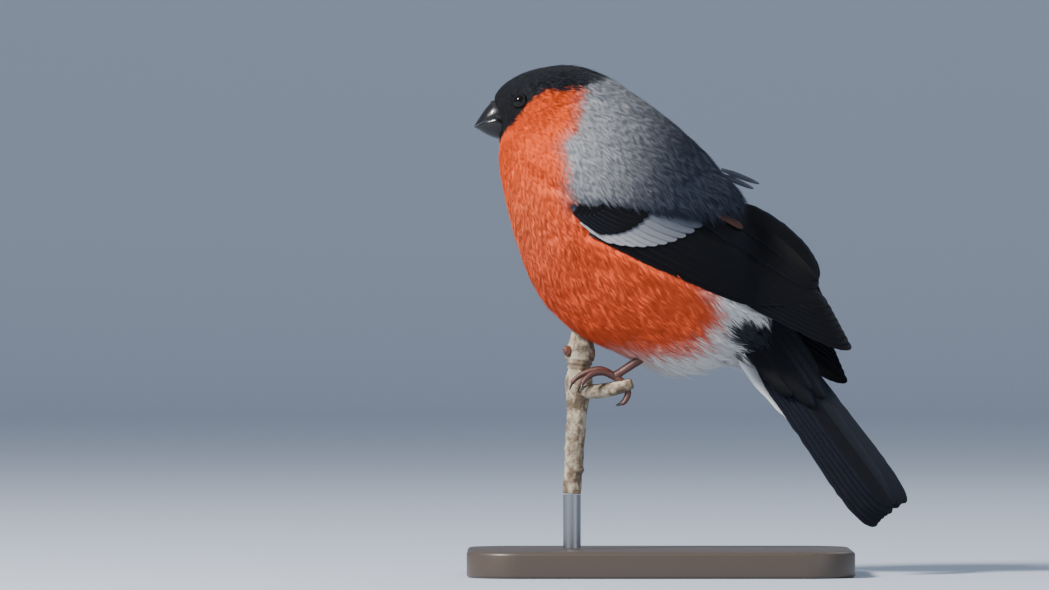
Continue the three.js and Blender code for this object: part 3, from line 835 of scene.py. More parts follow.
def coat_tree(tufts: list[bpy.types.Object], skin_finish: bpy.types.Material, seed: int, lift: float,
              low: float, high: float) -> Growth:
    """The tree that plants tufts over a skin along its lie.

    Args:
        tufts: The tufts to choose from, one unit long.
        skin_finish: Material of the tufts.
        seed: Seed of the scatter.
        lift: Mean angle between tuft and skin.
        low: Shortest coat length that this tree plants, in millimetres.
        high: Longest coat length that it plants.

    Returns:
        The tree with its inputs.
    """
    growth = Growth("coat_growth")
    growth.input("Seed", "NodeSocketInt", seed)
    growth.input("Lift", "NodeSocketFloat", lift)
    growth.input("Density", "NodeSocketFloat", 1e6)
    for number, tuft in enumerate(tufts):
        growth.input(f"Tuft {number}", "NodeSocketObject", tuft)
    start = growth.node("NodeGroupInput")

    length, density = growth.stored("length", "FLOAT"), growth.stored("density", "FLOAT")
    lie = growth.stored("lie", "FLOAT_VECTOR")
    above = growth.node("FunctionNodeCompare", {0: length, 1: low}, data_type="FLOAT",
                        operation="GREATER_EQUAL").outputs[0]
    under = growth.node("FunctionNodeCompare", {0: length, 1: high}, data_type="FLOAT",
                        operation="LESS_THAN").outputs[0]
    both = growth.node("FunctionNodeBooleanMath", {0: above, 1: under}, operation="AND")
    scatter = growth.node("GeometryNodeDistributePointsOnFaces", {
        "Mesh": start.outputs["Geometry"], "Selection": both.outputs[0], "Seed": start.outputs["Seed"],
    }, distribute_method="RANDOM")
    growth.feed(scatter.inputs["Density"], growth.maths("MULTIPLY", density, start.outputs["Density"]))
    where = growth.node("GeometryNodeInputPosition").outputs[0]
    rooted = growth.node("GeometryNodeStoreNamedAttribute", {
        "Geometry": scatter.outputs["Points"], "Name": "root", "Value": where,
    }, data_type="FLOAT_VECTOR", domain="POINT")
    number = growth.node("GeometryNodeInputIndex").outputs[0]
    counted = growth.node("GeometryNodeStoreNamedAttribute", {
        "Geometry": rooted.outputs[0], "Name": "tuft", "Value": number,
    }, data_type="INT", domain="POINT")
    faced = growth.node("FunctionNodeAxesToRotation", {
        "Primary Axis": scatter.outputs["Normal"], "Secondary Axis": lie,
    }, primary_axis="Z", secondary_axis="X")
    sway = growth.node("FunctionNodeRandomValue", {
        0: (-0.06, -0.10, -0.08), 1: (0.06, 0.03, 0.08), "Seed": start.outputs["Seed"],
    }, data_type="FLOAT_VECTOR")
    pitch = growth.node("ShaderNodeCombineXYZ", {1: growth.maths("MULTIPLY", start.outputs["Lift"], -1.0)})
    lean = growth.node("ShaderNodeVectorMath", {0: sway.outputs[0], 1: pitch.outputs[0]}, operation="ADD")
    turned = growth.node("FunctionNodeRotateRotation", {
        "Rotation": faced.outputs[0], "Rotate By": lean.outputs[0],
    }, rotation_space="LOCAL")
    varied = growth.node("FunctionNodeRandomValue", {2: 0.00078, 3: 0.00124, "Seed": start.outputs["Seed"]},
                         data_type="FLOAT")

    choice = growth.node("GeometryNodeGeometryToInstance")
    for order in reversed(range(len(tufts))):
        info = growth.node("GeometryNodeObjectInfo", {"Object": start.outputs[f"Tuft {order}"]})
        growth.feed(choice.inputs[0], info.outputs["Geometry"])
    planted = growth.node("GeometryNodeInstanceOnPoints", {
        "Points": counted.outputs[0], "Instance": choice.outputs[0], "Pick Instance": True,
        "Rotation": turned.outputs[0], "Scale": growth.maths("MULTIPLY", varied.outputs[1], length),
    })
    real = growth.node("GeometryNodeRealizeInstances", {"Geometry": planted.outputs[0]})
    finished = growth.node("GeometryNodeSetMaterial", {"Geometry": real.outputs[0], "Material": skin_finish})
    growth.node("NodeGroupOutput", {0: finished.outputs[0]})
    return growth


# The coat


@dataclass(frozen=True)
class TuftForm:
    """One tuft, one unit long: soft strands side by side that rise a little from the root."""

    strands: int
    fan: float
    footprint: float
    width: float
    curl: float
    seed: int
    ridge: float = 0.14

    def object(self, name: str) -> bpy.types.Object:
        """Make the tuft lying along +X with +Z outwards.

        Args:
            name: Name of the tuft.

        Returns:
            The object, with "along" growing from 0 at the root by a tone of each strand's own.
        """
        chance = np.random.default_rng(self.seed)
        points, faces, along = [], [], []
        for number in range(self.strands):
            share = (number + 0.5) / self.strands * 2 - 1
            angle = share * self.fan + chance.normal(0, 0.05)
            reach = (1 - 0.2 * share**2) * chance.uniform(0.82, 1.06)
            heading = np.array([math.cos(angle), math.sin(angle), 0.0])
            aside = np.array([-heading[1], heading[0], 0.0])
            root = np.array([chance.uniform(-0.45, 0.0), share * self.footprint, -0.03])
            middle = root + heading * reach * 0.45 + [0, 0, 0.03 + self.curl]
            tip = middle + unit(heading + [0.6, 0, 0]) * reach * 0.55 + [0, 0, chance.normal(-0.02, 0.008)]
            start = len(points) * 5
            wide, top = aside * self.width, middle + [0, 0, self.width * self.ridge]
            points.append(np.array([root, middle - wide, middle + wide, top, tip]))
            for left, right in ((2, 1), (3, 2), (1, 3)):
                faces += [(start, start + left, start + right), (start + 4, start + right, start + left)]
            # The along values rise from 0 at the root to this tone; the coat darkens low values as painted
            # shade at the strand's root.
            tone = chance.uniform(0.4, 1.6)
            along += [0, *(0.5 * tone,) * 3, tone]
        all_points = np.concatenate(points)
        mesh = mesh_of(name, all_points, outward(all_points, np.array(faces)))
        put(mesh, "along", "FLOAT", "value", np.array(along))
        return link(name, mesh, None)


@dataclass
class Coat:
    """All the small body feathers, planted on the skin and split by colour zone."""

    most_faces: int = 190_000
    lift: float = 0.035
    # Shortest feathers of the face, where the body's begin, and the longest, in millimetres.
    lengths: tuple = (0.1, 2.5, 20.0)
    # How much the zones' borders waver from tuft to tuft, in millimetres, and how much the tone does.
    waver: float = 0.3
    unevenness: float = 0.06
    # Tone at a tuft's root and how much it rises towards the tip: painted shade that darkens the roots.
    shaded_root_tone: float = 0.91
    tip_tone: float = 0.1
    # Each tuft's patch of the flat map, and the length in metres that it stands for.
    patch: float = 0.003
    patch_length: float = 0.006

    def dress(self, skin: bpy.types.Object, finishes: dict[Zone, bpy.types.Material]) -> list:
        """Plant the tufts.

        Args:
            skin: The skin with its fields.
            finishes: A finish for each zone.

        Returns:
            The coat's pieces.
        """
        plain = finishes[Zone.BREAST]
        body_tufts = [TuftForm(9, 0.08, 0.24, 0.014, 0.012, 11 + k).object(f"body_tuft_{k}")
                      for k in range(4)]
        face_tufts = [TuftForm(9, 0.08, 0.28, 0.018, 0.015, 31 + k).object(f"face_tuft_{k}")
                      for k in range(3)]
        shortest, border, longest = self.lengths
        grown = [
            coat_tree(body_tufts, plain, SEED, self.lift, border, longest).grown(skin, "body coat"),
            coat_tree(face_tufts, plain, SEED + 1, self.lift, shortest, border).grown(skin, "face coat"),
        ]
        for tuft in body_tufts + face_tufts:
            bpy.data.objects.remove(tuft)
        pieces = []
        for part, mesh in zip(("body", "face"), grown):
            pieces += self.split(part, mesh, finishes)
        return pieces

    def split(self, part: str, mesh: bpy.types.Mesh, finishes: dict[Zone, bpy.types.Material]) -> list:
        """Colour the planted tufts and cut them into pieces by zone.

        Args:
            part: Name of this part of the coat.
            mesh: All of its tufts in one mesh, which is removed.
            finishes: A finish for each zone.

        Returns:
            The pieces.
        """
        size = len(mesh.vertices)
        points = read(mesh.vertices, "co", size, 3)
        faces = np.empty(len(mesh.loops), np.int32)
        mesh.loops.foreach_get("vertex_index", faces)
        faces = faces.reshape(-1, 3)
        root = read(mesh.attributes["root"].data, "vector", size, 3)
        flat = read(mesh.attributes["flat"].data, "vector", size, 3)
        along = read(mesh.attributes["along"].data, "value", size, 1)[:, 0]
        tuft = np.empty(size, np.int32)
        mesh.attributes["tuft"].data.foreach_get("value", tuft)
        bpy.data.meshes.remove(mesh)

        chance = np.random.default_rng(SEED)
        many = tuft.max() + 1
        waver = chance.normal(0, self.waver, many)[tuft]
        shade = chance.normal(1.0, self.unevenness, many)[tuft]
        home = PLACE.home(root)
        zone = MARKINGS.zones(home, waver)
        # Each tuft's random tone, times a painted shade that darkens every strand towards its root.
        tone = shade * (self.shaded_root_tone + self.tip_tone * along)
        colour = MARKINGS.colours(home, waver) * tone[:, None]
        local = (points - root) / self.patch_length
        sheet = flat[:, :2] + local[:, [0, 2]] * self.patch * 0.5
        pieces = []
        for number, kind in enumerate(Zone):
            chosen = np.flatnonzero(zone[faces[:, 0]] == number)
            for piece, start in enumerate(range(0, len(chosen), self.most_faces)):
                rows = faces[chosen[start:start + self.most_faces]]
                used, back = np.unique(rows, return_inverse=True)
                name = f"coat_{part}_{kind.value}_{piece}"
                made = mesh_of(name, points[used], back.reshape(-1, 3))
                put_colour(made, "tint", colour[used])
                put_map(made, "OFBake", sheet, rows)
                pieces.append(link(name, made, finishes[kind]))
                LOG.info("%s: %d triangles", name, len(rows))
        return pieces


def read(data: bpy.types.bpy_prop_collection, name: str, size: int, width: int) -> np.ndarray:
    """Read numbers of a mesh into an array."""
    values = np.empty(size * width, np.float32)
    data.foreach_get(name, values)
    return values.reshape(size, width).astype(float)


# Vanes


def vane_arrays(sheet: Callable, start: tuple, end: tuple, width: float, lift: tuple, tilt: float,
                rows: int = 26, across: int = 8, thick: float = 0.16, camber: float = 0.3,
                root_share: float = 0.55, blunt: float = 3.2, seed: int = 0,
                bow: float = 0.0) -> tuple:
    """A thin closed vane on a curved sheet, round at the tip and slightly cambered.

    Args:
        sheet: Gives points from arrays of along, across and lift.
        start: Along and across of the root.
        end: Along and across of the tip.
        width: Greatest width.
        lift: Lift of the root and of the tip.
        tilt: Extra lift of one edge over the other.
        rows: Steps along.
        across: Steps across.
        thick: Thickness.
        camber: Rise of the middle over the edges.
        root_share: Width at the root as a share.
        blunt: How square the tip is.
        seed: Seed of the small notches at the edges.
        bow: How far the middle line bends aside.

    Returns:
        Points, quads and the flat map.
    """
    chance = np.random.default_rng(seed)
    t = 1 - (1 - np.linspace(0, 1, rows)) ** 1.6
    outline = root_share + (1 - root_share) * smooth(t, 0.0, 0.35)
    outline *= np.maximum(1 - t**(blunt * 3), 0.0) ** 0.5
    outline[-1] = 0.05
    s = np.linspace(-1, 1, across + 1)
    tt, ss = np.meshgrid(t, s, indexing="ij")
    notch = 1 + 0.03 * chance.normal(size=(rows, 1)) * (np.abs(ss) > 0.9)
    half = width / 2 * outline[:, None] * notch
    a0, b0 = start
    a1, b1 = end
    size = math.hypot(a1 - a0, b1 - b0)
    nx, ny = -(b1 - b0) / size, (a1 - a0) / size
    along = a0 + (a1 - a0) * tt + nx * half * ss
    side = b0 + (b1 - b0) * tt + ny * half * ss + 4 * bow * tt * (1 - tt)
    rise = lift[0] + (lift[1] - lift[0]) * tt + camber * (1 - ss**2) + tilt * ss
    shaft = 0.12 * np.exp(-((ss / 0.16) ** 2)) * (1 - tt)
    top = sheet(along.ravel(), side.ravel(), (rise + thick / 2 + shaft).ravel())
    low = sheet(along.ravel(), side.ravel(), (rise - thick / 2).ravel())
    points = np.concatenate([top, low])
    wide = across + 1
    i, j = np.meshgrid(np.arange(rows - 1), np.arange(across), indexing="ij")
    a = (i * wide + j).ravel()
    upper = np.stack([a, a + 1, a + 1 + wide, a + wide], 1)
    lower = upper[:, ::-1] + len(top)
    left, root = np.arange(rows - 1) * wide, np.arange(across)
    right, tip = left + across, root + (rows - 1) * wide
    edges = ((left, left + wide), (right + wide, right), (root + 1, root), (tip, tip + 1))
    rim = [np.stack([a, b, b + len(top), a + len(top)], 1) for a, b in edges]
    faces = outward(points, np.concatenate([upper, lower, *rim]))
    flat = np.stack([(ss.ravel() + 1) / 2, tt.ravel()], 1)
    return points, faces, np.concatenate([flat, flat])


def edge_share(flat: np.ndarray) -> np.ndarray:
    """How far each place of a vane's flat map belongs to its edges."""
    return smooth(np.abs(flat[:, 0] - 0.5), 0.38, 0.47)[:, None]


class Row(Enum):
    """The feather rows of a folded wing, from below."""

    PRIMARIES = "primaries"
    SECONDARIES = "secondaries"
    TERTIALS = "tertials"
    MARGIN = "pale feathers along the fore edge"
    GREATER = "greater coverts"
    MEDIAN = "median coverts"
    BROWN = "brown innermost feather"
    SHOULDER = "shoulder feathers"


@dataclass(frozen=True)
class RowForm:
    """One row: where its first and its last vane start and end, in the wing's plane."""

    row: Row
    count: int
    first: tuple
    final: tuple
    width: float
    lift: float
    rise: float
    tint: np.ndarray
    edge: np.ndarray
    final_tint: np.ndarray | None = None
    bow: float = 0.0
    swing: float = 0.0
    blunt: float = 2.4
    root_share: float = 0.55
    camber: float = 0.3

    def vane(self, number: int) -> tuple[tuple, tuple, float]:
        """Root, tip and share of one vane of the row."""
        share = number / max(self.count - 1, 1)
        a, b, c, d = (p + (q - p) * share for p, q in zip(self.first, self.final))
        swing = 4 * self.swing * share * (1 - share)
        return (a + swing, b - swing), (c + swing, d - swing), share


@dataclass
class Wing:
    """A folded wing: rows of vanes on a curved sheet that hugs the flank."""

    side: int
    length: float = 84.5
    tip_out: float = 9.5
    tip_spread: float = 0.1
    lean_in: float = 0.42
    rounding: float = 3.0
    root_sink: float = 0.2
    tilt: float = -0.22

    @property
    def wrist(self) -> tuple[float, float, float]:
        """Wrist place and slope: the far wing lies a little lower than the near one."""
        return (-20.0, 100.5, -0.471) if self.side < 0 else (-16.8, 97.7, -0.558)

    def rows(self) -> list[RowForm]:
        """The rows from the lowest to the topmost."""
        # The black rows' bluer edge colour is painted blue sheen.
        black, edge = linear(2, 2, 4), linear(16, 18, 27)
        low_bar, high_bar = linear(164, 164, 166), linear(84, 90, 102)
        slate, brown, dim = linear(40, 45, 58), linear(92, 58, 44), linear(128, 122, 120)
        return [
            RowForm(Row.PRIMARIES, 7, (44, -0.6, 85, -0.8), (42, 7, 76, 5.4), 5.6, 0.2, 0.16, black, edge),
            RowForm(Row.SECONDARIES, 7, (8, -3.4, 58, -1), (26, 8, 74.2, 6.6), 6.2, 0.65, 0.11, black, edge,
                    bow=0.6, root_share=0.8),
            RowForm(Row.TERTIALS, 3, (27, 9, 70.2, 8.4), (34, 16.5, 68.8, 12), 7.8, 1.1, 0.22, black, edge,
                    bow=3.2),
            RowForm(Row.MARGIN, 6, (0.6, -0.8, 5, -2.6), (4, -2.2, 12.5, -4.3), 2.2, 0.9, 0.04, slate, dim,
                    final_tint=dim, blunt=1.6, camber=0.15),
            RowForm(Row.GREATER, 10, (5, -2.2, 15.5, -4), (20, 9, 34.2, 10.5), 4.2, 1.15, 0.04, low_bar,
                    low_bar, final_tint=high_bar, swing=2.0, blunt=1.9, root_share=0.9, camber=0.12),
            RowForm(Row.MEDIAN, 9, (2, -1, 12.3, -3.2), (9, 6, 20.6, 8), 3.8, 1.45, 0.04, black, edge,
                    swing=1.3, blunt=1.7, root_share=0.9, camber=0.15),
            RowForm(Row.BROWN, 1, (34, 15.4, 44.3, 14.8), (34, 15.4, 44.3, 14.8), 2.0, 2.5, 0.0, brown,
                    brown),
            RowForm(Row.SHOULDER, 2 if self.side < 0 else 0, (32, 25, 42.2, 25.7), (32, 26.4, 43, 27.6),
                    1.6, 0.8, 0.1, slate, high_bar, blunt=1.2, camber=0.15),
        ]

    def plane(self, x: np.ndarray, z: np.ndarray) -> tuple[np.ndarray, np.ndarray]:
        """Along and across in the wing's plane, of places seen from the side."""
        wrist_x, wrist_z, slope = self.wrist
        dx, dz = x - wrist_x, z - wrist_z
        return dx * math.cos(slope) + dz * math.sin(slope), dz * math.cos(slope) - dx * math.sin(slope)

    def out(self, x: np.ndarray, z: np.ndarray) -> np.ndarray:
        """How far from the middle plane the wing's inner face lies."""
        along, across = self.plane(x, z)
        free = self.tip_out + (self.length - along) * self.tip_spread - self.lean_in * across
        hug = BODY.flank(x, z) - 0.5
        return np.maximum(free, hug) + self.rounding * np.exp(-np.abs(free - hug) / self.rounding) * 0.25

    def sheet(self, along: np.ndarray, across: np.ndarray, lift: np.ndarray) -> np.ndarray:
        """Points of the wing's curved sheet."""
        wrist_x, wrist_z, slope = self.wrist
        x = wrist_x + along * math.cos(slope) - across * math.sin(slope)
        z = wrist_z + along * math.sin(slope) + across * math.cos(slope)
        return np.stack([x, self.side * (self.out(x, z) + lift), z], 1)

    def cover(self, points: np.ndarray) -> np.ndarray:
        """How far points lie inside the outline of the dark vanes, negative outside of it."""
        place = np.stack(self.plane(points[:, 0], points[:, 2]), 1)
        best = np.full(len(points), -np.inf)
        for form in self.rows():
            if form.row in (Row.BROWN, Row.SHOULDER):
                continue
            half = form.width / 2
            for number in range(form.count):
                root, tip, share = form.vane(number)
                start, way = np.array(root), np.array(tip) - np.array(root)
                middle = start + way / 2 + [0, form.bow * share]
                for a, b in ((start, middle), (middle, start + way - unit(way) * half)):
                    best = np.maximum(best, half - to_line(place, a, b))
        return best

    def build(self, name: str, material: bpy.types.Material) -> bpy.types.Object:
        """Make the wing's vanes as one object."""
        build = Build()
        for form in self.rows():
            for number in range(form.count):
                root, tip, share = form.vane(number)
                lift = form.lift + form.rise * number
                points, faces, flat = vane_arrays(self.sheet, root, tip, form.width,
                                                  (lift - self.root_sink, lift), self.tilt,
                                                  blunt=form.blunt, seed=number, bow=form.bow * share,
                                                  root_share=form.root_share, camber=form.camber)
                final = form.tint if form.final_tint is None else form.final_tint
                tint = blend(form.tint, final, share)
                edge = form.edge if form.final_tint is None else tint * 1.1
                build.add(points, faces, flat, blend(tint, edge, edge_share(flat)))
        return build.object(name, material)


# The part of the side view where small shoulder feathers lie over the wing.
SHOULDER_OUTLINE = np.array([
    [-70.0, 102.3], [-23.0, 102.3], [-18.1, 100.7], [-12.2, 101.0], [-4.1, 99.9], [1.4, 98.0], [6.2, 97.2],
    [12.2, 96.4], [19.2, 96.7], [23.0, 99.1], [26.2, 102.1], [30.0, 105.0],
    [90.0, 105.0], [90.0, 180.0], [-70.0, 180.0],
])


def wing_cover(points: np.ndarray) -> np.ndarray:
    """How far points of the body lie inside the part of the wing that shoulder feathers leave open."""
    cover = np.where(points[:, 1] < 0, Wing(-1).cover(points), Wing(1).cover(points))
    return np.minimum(cover, -distance_in(points[:, [0, 2]], SHOULDER_OUTLINE))


@dataclass
class Tail:
    """The closed tail, turned a little about its own length, with coverts above and below."""

    root: tuple = (28.0, 0.0, 69.8)
    tip: tuple = (66.8, 0.0, 16.6)
    roll: float = 0.8
    pairs: int = 6
    width: float = 9.2
    root_spread: float = 9.0
    tip_spread: float = 13.6
    step: float = 0.36

    def sheet(self, along: np.ndarray, across: np.ndarray, lift: np.ndarray) -> np.ndarray:
        """Points of the tail's curved sheet."""
        root, tip = np.array(self.root), np.array(self.tip)
        axis = unit(tip - root)
        upper = np.array([-axis[2], 0.0, axis[0]])
        aside = np.array([0, math.cos(self.roll), 0]) + upper * math.sin(self.roll)
        out = upper * math.cos(self.roll) + np.array([0, -math.sin(self.roll), 0])
        rise = lift - 0.012 * across**2
        return root + along[:, None] * axis + across[:, None] * aside + rise[:, None] * out

    def build(self, name: str, material: bpy.types.Material) -> bpy.types.Object:
        """Make the tail's vanes as one object."""
        build = Build()
        # The black tail feathers' bluer edge colour is painted blue sheen.
        black, edge, white = linear(9, 10, 16), linear(20, 24, 38), linear(236, 236, 236)
        length = math.dist(self.root, self.tip)
        for number in range(self.pairs):
            share = (self.pairs - 1 - number) / (self.pairs - 1)
            short = 2.2 * share * (1 - share) + (1.6 if number == self.pairs - 1 else 0.0)
            for side in (-1, 1):
                lift = self.step * number + (0.14 if side > 0 else 0)
                start = (0.0, side * self.root_spread * share / 2)
                end = (length - short, side * (0.8 + self.tip_spread * share) / 2)
                points, faces, flat = vane_arrays(self.sheet, start, end, self.width, (lift, lift),
                                                  0.1 * side, rows=34, blunt=4.2, seed=number,
                                                  root_share=0.5)
                build.add(points, faces, flat, blend(black, edge, edge_share(flat)))
        lobes = ((-1, 6.5, 24), (1, 6.5, 24), (-1, 2.6, 30), (1, 2.6, 30), (0, 0, 26))
        for number, (side, spread, reach) in enumerate(lobes):
            lift = self.step * self.pairs + 0.12 * number
            build.add(*vane_arrays(self.sheet, (-6, side * spread * 0.8), (reach, side * spread), 9.0,
                                   (lift, lift), 0.0, rows=20, blunt=1.6, seed=number, camber=0.5,
                                   root_share=0.9), black)
        for number, (side, reach) in enumerate(((-1, 34), (1, 30), (0, 36))):
            lift = -0.9 - 0.2 * number
            build.add(*vane_arrays(self.sheet, (-1, side * 6), (reach, side * 5.6), 11, (lift, lift), 0.0,
                                   rows=20, blunt=1.2, seed=number, camber=-0.4), white)
        return build.object(name, material)


# Bill, eyes and feet


@dataclass
class Bill:
    """The stout bill, parted at the mouth line."""

    # x, top z, bottom z, half width
    rings: np.ndarray = held(np.array([
        [-37.2, 128.6, 117.6, 4.5], [-39.6, 128.5, 117.5, 4.5], [-41.2, 127.9, 118.0, 4.2],
        [-42.6, 126.5, 118.6, 3.7], [-43.8, 124.9, 119.3, 3.0], [-44.9, 123.2, 120.1, 2.0],
        [-45.7, 121.9, 120.6, 1.0], [-46.1, 121.3, 120.8, 0.35],
    ]))
    mouth: np.ndarray = held(np.array([
        [-46.6, 120.9], [-46.0, 121.1], [-43.6, 122.3], [-40.2, 123.4], [-37.2, 122.0],
    ]))
    parting: float = 0.18
    bristle_count: int = 150

    def half(self, upper: bool, rows: int = 26, corners: int = 15) -> tuple:
        """Shape one half, closed at the mouth.

        Args:
            upper: The upper half, or else the lower.
            rows: Rings along the bill.
            corners: Corners of a ring's outer side.

        Returns:
            Points, quads and the flat map.
        """
        share = np.linspace(0, 1, rows)
        place = np.interp(share, np.linspace(0, 1, len(self.rings)), np.arange(len(self.rings)))
        columns = [np.interp(place, np.arange(len(self.rings)), self.rings[:, k]) for k in range(4)]
        kernel = np.array([1, 2, 1]) / 4
        x, top, bottom, wide = (np.concatenate([c[:1], np.convolve(c, kernel, "valid"), c[-1:]])
                                for c in columns)
        line = np.interp(x, self.mouth[:, 0], self.mouth[:, 1])
        line = line + (self.parting if upper else -self.parting) / 2
        line = np.clip(line, bottom + 0.05, top - 0.05)
        middle, tall = (top + bottom) / 2, (top - bottom) / 2
        fan = np.linspace(-1, 1, corners)
        rings = []
        for r in range(rows):
            edge = math.acos(np.clip((line[r] - middle[r]) / tall[r], -1, 1))
            angle = edge * fan if upper else math.pi + (math.pi - edge) * fan
            outer = np.stack([np.full(corners, x[r]), wide[r] * np.sin(angle),
                              middle[r] + tall[r] * np.cos(angle)], 1)
            inner = outer[::-1].copy()
            inner[:, 2] = line[r]
            inner[:, 1] *= 0.96
            rings.append(np.concatenate([outer, inner]))
        sides = 2 * corners
        points = np.concatenate(rings)
        v, u = np.meshgrid(share, np.arange(sides) / sides, indexing="ij")
        return points, outward(points, closed_faces(rows, sides)), np.stack([u, v], -1).reshape(-1, 2)

    def bristles(self, material: bpy.types.Material) -> bpy.types.Object:
        """Make the short dark bristles that cover the nostrils and the bill's root.

        Args:
            material: Their finish.

        Returns:
            The object.
        """
        build = Build()
        chance = np.random.default_rng(SEED)
        for _ in range(self.bristle_count):
            turn = chance.uniform(-2.3, 2.3)
            reach = chance.uniform(1.0, 1.9)
            x = -39.0 - 1.2 * max(math.cos(turn), 0.0)
            out = np.array([0.0, math.sin(turn), math.cos(turn)])
            root = np.array([x, 0, 123.0]) + out * [0, 4.3, 5.0]
            ahead = np.array([-1.0, 0.15 * chance.normal(), 0.1 * chance.normal()])
            tip = root + reach * unit(ahead - out * 0.3)
            places = np.linspace(root, tip, 4) + out * np.array([0, 0.16, 0.16, 0])[:, None]
            build.add(*tube(places, np.array([0.10, 0.09, 0.06, 0.01]), 4), linear(14, 14, 18))
        return build.object("bill_bristles", material)

    def build(self, material: bpy.types.Material) -> list[bpy.types.Object]:
        """Make both halves."""
        made = []
        for name, upper in (("horn_upper", True), ("horn_lower", False)):
            build = Build()
            points, faces, flat = self.half(upper)
            build.add(points, faces, flat, linear(40, 40, 44))
            made.append(build.object(name, material))
        return made


@dataclass
class Eye:
    """A dark wet ball in a thin ring of bare lid."""

    side: int
    x: float = -33.5
    z: float = 127.6
    radius: float = 2.2
    proud: float = 0.5
    opening: float = 1.6
    lid: float = 0.09

    def axis(self) -> np.ndarray:
        """Where the eye looks."""
        step = 0.5
        dx = (BODY.flank_at(self.x + step, self.z) - BODY.flank_at(self.x - step, self.z)) / (2 * step)
        dz = (BODY.flank_at(self.x, self.z + step) - BODY.flank_at(self.x, self.z - step)) / (2 * step)
        return unit(np.array([-dx, self.side, -dz]))

    def middle(self) -> np.ndarray:
        """Middle of the ball."""
        out = BODY.flank_at(self.x, self.z) - self.radius + self.proud
        return np.array([self.x, self.side * out, self.z])

    def build(self, name: str, ball: bpy.types.Material, lid: bpy.types.Material) -> list[bpy.types.Object]:
        """Make the ball and its lid ring."""
        axis, middle = self.axis(), self.middle()
        side = unit(np.cross(axis, [0, 0, 1.0]))
        up = np.cross(side, axis)
        share = np.linspace(-0.98, 0.98, 25) * math.pi / 2
        rings = middle + axis * (self.radius * np.sin(share))[:, None]
        turn = np.arange(32) / 32 * FULL_TURN
        round_ = np.cos(turn)[:, None] * side + np.sin(turn)[:, None] * up
        points = (rings[:, None] + (self.radius * np.cos(share))[:, None, None] * round_[None]).reshape(-1, 3)
        build = Build()
        build.add(points, outward(points, closed_faces(25, 32)), np.zeros((len(points), 2)),
                  linear(20, 12, 8))
        made = [build.object(f"{name}_ball", ball)]
        rise = math.sqrt(self.radius**2 - self.opening**2)
        around = middle + axis * (rise + 0.03) + round_ * (self.opening + self.lid * 0.6)
        bead = np.arange(10) / 10 * FULL_TURN
        ring = (around[:, None] + self.lid * (np.cos(bead)[None, :, None] * round_[:, None]
                                              + 0.8 * np.sin(bead)[None, :, None] * axis))
        i, j = np.meshgrid(np.arange(32), np.arange(10), indexing="ij")
        a, b = i * 10 + j, i * 10 + (j + 1) % 10
        c, d = ((i + 1) % 32) * 10 + (j + 1) % 10, ((i + 1) % 32) * 10 + j
        points = ring.reshape(-1, 3)
        faces = outward(points, np.stack([a, b, c, d], -1).reshape(-1, 4))
        build = Build()
        build.add(points, faces, np.zeros((len(points), 2)), linear(34, 34, 40))
        made.append(build.object(f"{name}_lid", lid))
        return made


@dataclass
class Foot:
    """A shank, four scaled toes and their claws."""

    side: int
    ankle: tuple = (-8.2, 53.6)
    knee: tuple = (2.8, 61.0)
    out: float = 7.0

    def toes(self) -> list[tuple[float, np.ndarray]]:
        """Spread and joints of each toe, as x and z offsets from the ankle."""
        return [
            (-1.6, np.array([[0, 0], [-3.0, 1.2], [-6.2, 0.6], [-8.8, -1.6], [-9.9, -4.0]])),
            (0.2, np.array([[0, 0], [-3.4, 1.8], [-7.2, 1.3], [-10.6, -0.6], [-12.2, -3.4]])),
            (2.2, np.array([[0, 0], [-2.8, 1.2], [-5.8, 0.9], [-8.2, -1.0], [-9.2, -3.4]])),
            (0.6, np.array([[0, 0], [2.4, -1.8], [3.6, -4.4], [2.6, -6.8], [0.6, -7.8]])),
        ]

    def at(self, x: float, out: float, z: float) -> np.ndarray:
        """A place on this side."""
        return np.array([x, self.side * out, z])

    def path(self, spread: float, joints: np.ndarray, t: np.ndarray) -> np.ndarray:
        """Middle line of a toe, at places counted in joints."""
        offset = curve(joints, t)
        y = self.side * (self.out + spread * t / 2)
        return np.stack([offset[:, 0] + self.ankle[0], y, offset[:, 1] + self.ankle[1]], 1)

    def build(self, name: str, skin: bpy.types.Material, claw: bpy.types.Material) -> list[bpy.types.Object]:
        """Make the shank, the toes and the claws."""
        leather, horn, shank = Build(), Build(), Build()
        colour = linear(80, 46, 38)
        places = np.array([self.at(self.ankle[0], self.out, self.ankle[1]),
                           self.at(self.knee[0], self.out, self.knee[1]),
                           self.at(self.knee[0] + 5, self.out + 0.5, self.knee[1] + 4.5)])
        t = np.linspace(0, 2, 40)
        path = np.stack([np.interp(t, [0, 1, 2], places[:, k]) for k in range(3)], 1)
        radii = np.interp(t, [0, 0.15, 1, 2], [1.15, 1.0, 1.25, 1.9])
        shank.add(*tube(path, radii, 14, scales(14)), colour)
        toe, nail = np.linspace(0, 3.4, 34), np.linspace(3.2, 4.25, 12)
        radii = np.interp(toe, [0, 1, 2, 3, 3.4], [1.0, 0.92, 0.82, 0.66, 0.5])
        for spread, joints in self.toes():
            leather.add(*tube(self.path(spread, joints, toe), radii, 12, scales(11)), colour)
            horn.add(*tube(self.path(spread, joints, nail), np.linspace(0.42, 0.05, 12), 10),
                     linear(38, 30, 28))
        return [shank.object(f"{name}_shank", skin), leather.object(f"{name}_toes", skin),
                horn.object(f"{name}_claws", claw)]


def scales(count: int) -> Callable:
    """Ripples of this many scales along a leg or toe, strongest on its upper side."""
    def ripple(share: np.ndarray, turn: np.ndarray) -> np.ndarray:
        """A factor on the radius."""
        return 1 + 0.06 * np.abs(np.sin(share * math.pi * count)) * (0.6 + 0.4 * np.cos(turn))
    return ripple


# Twig and stand


